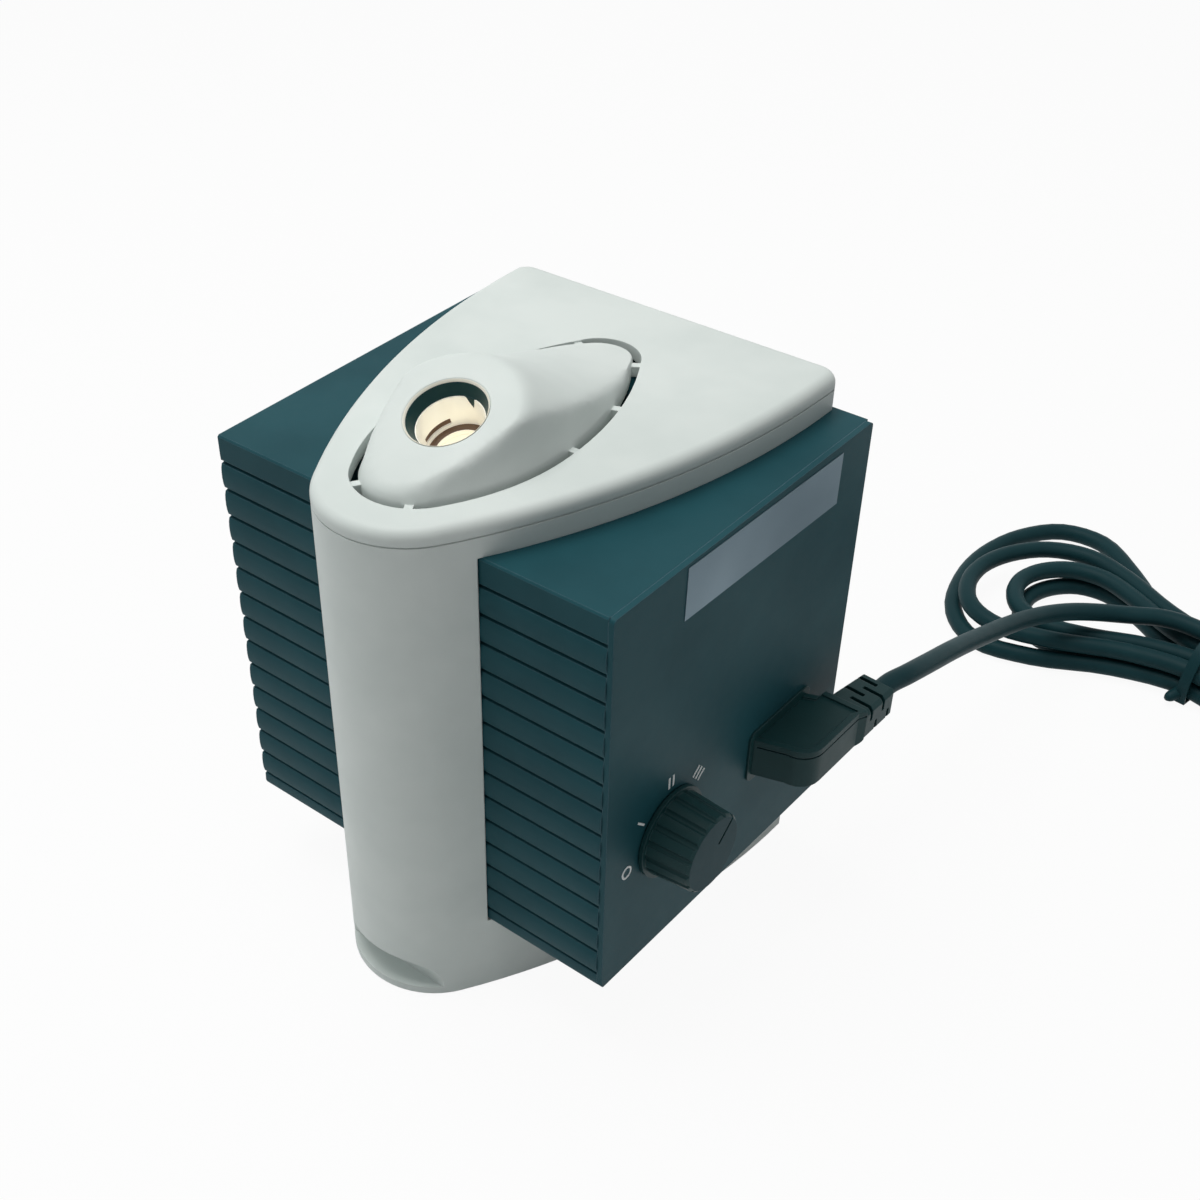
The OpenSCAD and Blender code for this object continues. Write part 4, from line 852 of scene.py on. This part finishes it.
class MainsCord:
    """The cord from the strain relief to the hank, its tie and the mains plug."""

    TIE = TieSize()
    CHANGE_DEG = 60
    CLIMB_DEG = 200
    SIDES = 14
    RUN_MM: tuple[Point, ...] = (
        (93.5, 147, 76), (93.8, 156, 73.6), (93.5, 168, 69.6), (92.8, 181, 64.9),
        (91.8, 195, 59.2), (90.9, 210, 52.9), (90.3, 226, 46.3), (90.4, 242, 40.4),
        (91.6, 257, 35.2), (94.6, 271, 30.8), (99.4, 283, 27.2), (105.5, 292.6, 24.3))
    LEAD_MM: tuple[tuple[float, float], ...] = (
        (-30.3, -4.4), (-24.8, -0.3), (-18.6, 2.4), (-12.9, 3.5))
    TAIL_MM: tuple[Point, ...] = (
        (75, 51, 5.5), (95, 62, 7.5), (115, 68, 10), (132, 69, 11.4), (142, 69, 11.4))

    def __init__(self, paint: Paint, size: CordSize) -> None:
        """Works out the heights of the hank's layers and its loops.

        Args:
            paint: The finishes.
            size: The cord's sizes.
        """
        self.paint, self.size = paint, size
        radius, strand = size.diameter / 2, size.diameter + size.gap
        self.strand = strand
        low, middle, high = (radius + size.table_gap + layer * strand for layer in range(3))
        self.top_layer = high
        self.loops = ((94, 60, strand / 2, high, 0), (102, 62, strand * 1.5, middle, -6),
                      (84, 42, strand / 2, middle, -2), (80, 44, strand / 2, low, 0),
                      (112, 90, strand * 1.5, low, 14))

    def on_table(self, point: Sequence[float]) -> Vector:
        """Moves a point of the hank to its place on the table, still in millimetres."""
        turn = math.radians(self.size.turn_deg)
        x, y, z = point
        return Vector((self.size.tie[0] + x * math.cos(turn) - y * math.sin(turn),
                       self.size.tie[1] + x * math.sin(turn) + y * math.cos(turn), z))

    def _mixed(self, angle: float, key: int, start: float, end: float) -> float:
        """One size of the loop at an angle, eased from loop to loop.

        Args:
            angle: The way round the hank in degrees.
            key: Which size of the loop.
            start: Where the change starts, from the loop's end.
            end: Where it ends.

        Returns:
            The size in millimetres.
        """

        def ease(share: float) -> float:
            """Runs gently from 0 to 1."""
            held = min(1.0, max(0.0, share))
            return held * held * (3 - 2 * held)

        loop = math.floor((angle + 270) / 360)
        past = angle - (90 + 360 * (loop - 1))
        ahead = angle - (90 + 360 * loop)
        here = self.loops[loop][key]
        if ahead >= start:
            following = self.loops[min(4, loop + 1)][key]
            return here + (following - here) * ease((ahead - start) / (end - start))
        if loop > 0 and past <= end:
            previous = self.loops[loop - 1][key]
            return previous + (here - previous) * ease((past - start) / (end - start))
        return here

    def hank_point(self, angle: float) -> Vector:
        """The hank's centre line at an angle, in millimetres."""
        turn = math.radians(90 - angle)
        sine, cosine = math.sin(turn), math.cos(turn)
        early = (-self.CHANGE_DEG, 0)
        reach, lobe, waist = (self._mixed(angle, key, *early) for key in range(3))
        late = (0, self.CHANGE_DEG)
        height = self._mixed(angle, 3, *(late if angle < self.CLIMB_DEG else early))
        shift = self._mixed(angle, 4, *early) * cosine**2 if cosine < 0 else 0.0
        pinch = 1 - waist / lobe
        return self.on_table((reach * cosine, lobe * sine * (1 - pinch * sine**4) + shift,
                              height + self.size.tie_lift * sine**12))

    def line(self) -> list[Vector]:
        """The whole centre line from the strain relief to the mains plug, in metres."""
        size = self.size
        lean = math.radians(size.boot_tilt_deg)
        out = Vector((math.sin(lean), math.cos(lean), 0))
        root = Vector(size.boot_root) + out * size.boot_len
        rise = self.top_layer + size.tie_lift
        hank = [self.on_table((x, y, rise)) for x, y in self.LEAD_MM]
        hank += [self.hank_point(a) for a in range(0, size.hank_last + 1, size.hank_step)]
        hank += [self.on_table(p) for p in self.TAIL_MM]
        run = [root, root + out * size.diameter, *(Vector(p) for p in self.RUN_MM),
               hank[0] - (hank[1] - hank[0]).normalized() * size.diameter]
        return [p * MM for p in smooth_line(run + hank, 4)]

    def build(self) -> None:
        size = self.size
        line = self.line()
        cord = MeshKit.tube("mains_cord", line, size.diameter / 2 * MM, self.SIDES)
        self.paint.coat(cord, Finishes.CORD)
        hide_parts("cord_run", "cord_hank")
        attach(cord, "base")
        tie = self._tie()
        plug = [self.paint.coat(MeshKit.finer_copy(node), finish)
                for node, finish in (("mains_plug", Finishes.BLACK),
                                     ("mains_plug_pins", Finishes.PIN))]
        LOG.info("cord length %.3f m", line_length(line))

    def _tie(self) -> Piece:
        """The flat wire tie round the strands, with its twisted ends."""
        size, sizes = self.size, self.TIE
        half = self.strand * 2 + sizes.side_gap
        high = self.top_layer + size.tie_lift + size.diameter / 2 + sizes.top_gap
        outline = [(-half, 1.5), (-half * 0.6, 1.0), (half * 0.6, 1.0), (half, 1.5),
                   (half + 0.3, high * 0.45), (half * 0.62, high * 0.93), (0, high),
                   (-half * 0.62, high * 0.93), (-half - 0.3, high * 0.45)]
        wide, thick = sizes.half_width, sizes.half_thick
        rings = []
        for centre in smooth_line([Vector((0, y, z)) for y, z in (*outline, outline[0])], 6)[:-1]:
            outward = Vector((0, centre.y, centre.z - high / 2)).normalized()
            rings.append([self.on_table(centre + Vector((along, 0, 0)) + outward * across) * MM
                          for along, across in ((-wide, -thick), (wide, -thick),
                                                (wide, thick), (-wide, thick))])
        tie = MeshKit.skin("hank_tie_band", rings, True, 40)
        self.paint.coat(tie, Finishes.CORD)
        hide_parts("hank_tie")
        ends = []
        for number in range(2):
            twist = []
            for share in (step / 25 for step in range(26)):
                turn = 2 * math.pi * (share * sizes.end_turns + number / 2)
                twist.append(self.on_table((
                    sizes.end_r * math.cos(turn) - 3 * share, half + 0.2 + sizes.end_len * share,
                    high * 0.72 + sizes.end_r * math.sin(turn) + 1.5 * math.sin(share * 2))) * MM)
            ends.append(MeshKit.tube(f"hank_tie_end_{number + 1}", twist, sizes.wire_r * MM, 8))
        stub = [self.on_table((-1.5 - 2.5 * share, 1.5 - half - sizes.knot_len * share,
                               5.2 - 1.6 * share)) * MM
                for share in (step / 12 for step in range(13))]
        ends.append(MeshKit.tube(
            "hank_tie_knot", stub,
            lambda share: sizes.knot_r * MM * max(0.15, 1 - share**5) ** 0.5, self.SIDES))
        for end in ends:
            self.paint.coat(end, Finishes.CORD)
            end.parent = tie
        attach(tie, "base")
        return tie


# ---- sub-assemblies of CAD nodes


class Dressing:
    """Gives the CAD nodes of a sub-assembly their finishes."""

    SMOOTH: dict[Finishes, str] = {}
    KEPT: dict[Finishes, str] = {}

    def __init__(self, paint: Paint) -> None:
        """Keeps the finishes."""
        self.paint = paint

    def build(self) -> None:
        """Copies the curved shells smoothly and finishes every node."""
        for finish, nodes in self.SMOOTH.items():
            for node in nodes.split():
                self.paint.coat(MeshKit.finer_copy(node), finish)
        for finish, nodes in self.KEPT.items():
            for node in nodes.split():
                self.paint.coat(bpy.data.objects[node], finish)


@dataclass(frozen=True)
class PortSize:
    """Sizes of the light-guide port, in millimetres, as in the part's source.

    Attributes:
        centre: Middle of the port's face.
        tilt_deg: Tilt of the port towards the front.
        mouth_r: Radius of the hole in the dome.
        floor_z: Height of the sleeve's floor along the port's axis.
        bore_r: Radius of the sleeve's bore.
        window_r: Radius of the hole in the sleeve's floor.
        floor_t: Thickness of that floor.
        recess: Depth of the black ring above the sleeve.
        notch_depth: Depth of the sleeve's V notch.
        notch_deg: Where the notch is round the axis.
        crease_above: Height above which the dome's creases are rounded.
        crease_fade: Width of the belt in which the rounding sets in.
        crease_mm: Length of the mesh's edges there.
        crease_rounds: Rounds of evening out there.
    """

    centre: Point = (0, 21.4, 202.4)
    tilt_deg: float = 20.3
    mouth_r: float = 12.7
    floor_z: float = -16.5
    bore_r: float = 10.3
    window_r: float = 7.85
    floor_t: float = 1.5
    recess: float = 4.7
    notch_depth: float = 4.4
    notch_deg: float = 94
    crease_above: float = 190.5
    crease_fade: float = 2
    crease_mm: float = 2.2
    crease_rounds: int = 7

    def place(self) -> Matrix:
        """The matrix from the port's frame in metres to the row frame."""
        return (Matrix.Translation(Vector(self.centre) * MM)
                @ Matrix.Rotation(math.radians(self.tilt_deg), 4, "X"))


class TopCover(Dressing):
    """The lift-off cover with the raised light-guide port."""

    JOIN_DEG, SPLITS, EVEN_SHARE, DOME_SHARP_DEG = 0.6, 7, 0.5, 38
    MOUTH_RIM = 1.2
    TOOTH_HALF, TOOTH_PLAY, TOOTH_THICK, TOOTH_EDGE = 2.1, 0.25, 0.95, 0.12
    SLOT_FROM_DEG, SLOT_TURN_DEG, SLOT_STEPS = 142, 56, 20
    SLOT_LOW, SLOT_HIGH, SLOT_IN, SLOT_OUT = 1.35, 3.65, 0.75, 1.1
    SMOOTH = {Finishes.SHELL: "top_cover", Finishes.BLACK: "port_ring",
              Finishes.BRASS: "guide_sleeve", Finishes.WINDOW: "exit_window",
              Finishes.STEEL: "window_clip"}

    def build(self) -> None:
        """Finishes the cover's nodes and adds the port's fine rings and pieces: a painted highlight
        round the mouth, painted shadow on the sleeve's floor and in its slot, a pip on the window
        and the ring's tooth.
        """
        super().build()
        port = PortSize()
        dome = self.paint.coat(MeshKit.finer_copy("port_dome"), Finishes.SHELL)
        self._soften(dome, port)
        low, lip = port.floor_z, port.mouth_r
        rings = (
            # A thin pale ring on the mouth's chamfer: a painted highlight where light catches the
            # rim.
            ("port_mouth_highlight_ring", Finishes.MOUTH_HIGHLIGHT, 72, (
                (lip - 0.5, -0.9), (lip - 0.15, -0.9), (lip - 0.1, -0.35),
                (lip + 0.12, -0.08), (lip + 0.02, -0.02), (lip - 0.2, -0.3),
                (lip - 0.42, -0.62))),
            # A thin dark ring on the sleeve's floor: painted shadow in the step round the window.
            ("sleeve_step_shadow", Finishes.PORT_DARK, 72, (
                (port.window_r + 0.35, low + 0.01), (port.bore_r - 0.05, low + 0.01),
                (port.bore_r - 0.05, low + 0.3), (port.window_r + 0.75, low + 0.3),
                (port.window_r + 0.45, low + 0.16))),
            ("window_pip", Finishes.PORT_DARK, 32, (
                (0.02, low - port.floor_t - 0.02), (1.5, low - port.floor_t - 0.02),
                (1.35, low - port.floor_t + 0.1), (0.02, low - port.floor_t + 0.14))))
        pieces = [(MeshKit.lathe(name, [(r * MM, z * MM) for r, z in profile], port.place(),
                                 sides), finish) for name, finish, sides, profile in rings]
        pieces += [(self._tooth(port), Finishes.BLACK), (self._painted_slot_shadow(port), Finishes.PORT_DARK)]
        for piece, finish in pieces:
            self.paint.coat(piece, finish)
            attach(piece, "cover")

    @staticmethod
    def _soften(dome: Piece, port: PortSize) -> None:
        """Rounds the creases between the port's face and the dome's slopes.

        Args:
            dome: The copy of the dome.
            port: The port's sizes, whose mouth stays sharp.
        """
        inward = port.place().inverted()
        work = bmesh.new()
        work.from_mesh(dome.data)
        bmesh.ops.dissolve_limit(work, angle_limit=math.radians(TopCover.JOIN_DEG),
                                 verts=work.verts, edges=work.edges)
        bmesh.ops.triangulate(work, faces=work.faces)

        def share(vert: bmesh.types.BMVert) -> float:
            """How far a point may move: none at the mouth and below the slopes."""
            local = inward @ vert.co
            from_mouth = math.hypot(local.x, local.y) / MM - port.mouth_r - TopCover.MOUTH_RIM
            above = vert.co.z / MM - port.crease_above
            return max(0.0, min(1.0, from_mouth / port.crease_fade, above / port.crease_fade))

        for _ in range(TopCover.SPLITS):
            long = [edge for edge in work.edges if edge.calc_length() > port.crease_mm * MM
                    and max(share(vert) for vert in edge.verts) > 0]
            if not long:
                break
            bmesh.ops.subdivide_edges(work, edges=long, cuts=1)
            bmesh.ops.triangulate(work, faces=work.faces)
        shares = {vert: share(vert) for vert in work.verts}
        shares = {vert: part for vert, part in shares.items() if part > 0}
        for _ in range(port.crease_rounds):
            middles = {vert: sum((edge.other_vert(vert).co for edge in vert.link_edges),
                                 Vector()) / len(vert.link_edges) for vert in shares}
            for vert, middle in middles.items():
                vert.co = vert.co.lerp(middle, TopCover.EVEN_SHARE * shares[vert])
        work.to_mesh(dome.data)
        work.free()
        MeshKit.shade(dome, TopCover.DOME_SHARP_DEG)
        LOG.info("softened the dome at %d points", len(shares))

    @staticmethod
    def _tooth(port: PortSize) -> Piece:
        """The black tooth of the ring that hangs in the sleeve's V notch."""
        turn = math.radians(port.notch_deg)
        outward = Vector((math.cos(turn), math.sin(turn), 0))
        side = Vector((-outward.y, outward.x, 0))
        local = Matrix((side, Vector((0, 0, 1)), outward)).transposed().to_4x4()
        top = -port.recess + 0.1
        tip = -port.recess - port.notch_depth + TopCover.TOOTH_PLAY
        half, near = TopCover.TOOTH_HALF, port.bore_r - 0.05
        work = bmesh.new()
        flat = work.faces.new([work.verts.new((x * MM, y * MM, near * MM))
                               for x, y in ((0, tip), (half, top), (-half, top))])
        grown = bmesh.ops.extrude_face_region(work, geom=[flat])["geom"]
        bmesh.ops.translate(work, vec=(0, 0, TopCover.TOOTH_THICK * MM),
                            verts=[g for g in grown if isinstance(g, bmesh.types.BMVert)])
        bmesh.ops.recalc_face_normals(work, faces=work.faces)
        rims = [rim for rim in work.edges
                if abs(rim.verts[0].co.z - rim.verts[1].co.z) < MeshKit.LEVEL]
        bmesh.ops.bevel(work, geom=rims, offset=TopCover.TOOTH_EDGE * MM, segments=3,
                        profile=0.5, affect="EDGES", clamp_overlap=True)
        bmesh.ops.transform(work, matrix=port.place() @ local, verts=work.verts)
        mesh = bpy.data.meshes.new("ring_tooth")
        work.to_mesh(mesh)
        work.free()
        return MeshKit.link("ring_tooth", mesh, MeshKit.SHARP_DEG)

    @staticmethod
    def _painted_slot_shadow(port: PortSize) -> Piece:
        """A dark strip in the sleeve's bayonet slot: painted shadow in the slot's recess."""
        low, high = port.floor_z + TopCover.SLOT_LOW, port.floor_z + TopCover.SLOT_HIGH
        near, far = port.bore_r + TopCover.SLOT_IN, port.bore_r + TopCover.SLOT_OUT
        rings = []
        for k in range(TopCover.SLOT_STEPS + 1):
            turn = math.radians(TopCover.SLOT_FROM_DEG
                                + TopCover.SLOT_TURN_DEG * k / TopCover.SLOT_STEPS)
            rings.append([port.place() @ (Vector((r * math.cos(turn), r * math.sin(turn), z)) * MM)
                          for r, z in ((near, low), (far, low), (far, high), (near, high))])
        return MeshKit.skin("slot_shadow_paint", rings, False)


class Housing(Dressing):
    """The plastic spine, its foot and the ribbed box."""

    SMOOTH = {Finishes.SHELL: "spine_body",
              Finishes.CASE: "case_sleeve side_panel_right side_panel_left base_plate",
              Finishes.PAD: "foot_pads", Finishes.STEEL: "base_screws case_screws"}
    KEPT = {Finishes.LABEL: "label_plate", Finishes.PRINT: "dial_marks"}


class LampBay(Dressing):
    """The halogen lamp, its reflector, filter and frame."""

    SMOOTH = {Finishes.REFLECTOR: "lamp_reflector"}
    KEPT = {Finishes.GLASS: "heat_filter lamp_capsule",
            Finishes.STEEL: "filter_clip lamp_frame lamp_frame_screws",
            Finishes.BRASS: "lamp_pins", Finishes.CERAMIC: "lamp_socket",
            Finishes.LEAD: "lamp_leads"}


class PowerSupply(Dressing):
    """The transformer, the circuit board and the switch."""

    KEPT = {Finishes.CORE: "transformer_core", Finishes.WHITE: "transformer_bobbin",
            Finishes.COPPER: "transformer_winding",
            Finishes.STEEL: "transformer_strap strap_screws switch_nut switch_shaft",
            Finishes.BOARD: "circuit_board", Finishes.BLACK: "board_parts rotary_switch",
            Finishes.BRASS: "board_standoffs"}


class Selector(Dressing):
    """The fluted selector knob, whose flat face has its own copy of the black plastic, tuned to how
    light the face shows: painted light.
    """

    FACE_DEPTH = 0.2 * MM
    FACE_LEVEL = 0.99

    def build(self) -> None:
        """Copies the knob and gives its flat outer face a copy of the black plastic of its own,
        tuned to how light the face shows, which is painted light.
        """
        knob = self.paint.coat(MeshKit.finer_copy("selector_knob"), Finishes.BLACK)
        knob.data.materials.append(self.paint.of(Finishes.FACE))
        outer = max(v.co.x for v in knob.data.vertices)
        for face in knob.data.polygons:
            if face.normal.x > self.FACE_LEVEL and face.center.x > outer - self.FACE_DEPTH:
                face.material_index = 1


class MainsInlet(Dressing):
    """The inlet with its pins, and the angled plug with its strain relief."""

    SMOOTH = {Finishes.BLACK: "plug_body plug_boot inlet_body"}
    KEPT = {Finishes.STEEL: "inlet_pins"}


# ---- the whole scene


class Illuminator:
    """Builds the whole dressed model."""

    PARTS = (TopCover, Housing, LampBay, PowerSupply, Selector, MainsInlet)

    def __init__(self) -> None:
        """Makes the finishes."""
        self.paint = Paint()

    def build(self) -> None:
        """Builds the cord and every sub-assembly, and reports each."""
        for part in (MainsCord(self.paint, CordSize()), *(kind(self.paint) for kind in self.PARTS)):
            part.build()
            LOG.info("built %s", type(part).__name__)


def main() -> None:
    """Loads the frame and dresses it."""
    logging.basicConfig(level=logging.INFO)
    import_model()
    Studio(CameraSize()).build()
    Illuminator().build()
    bpy.context.view_layer.update()


if __name__ == "__main__":
    main()
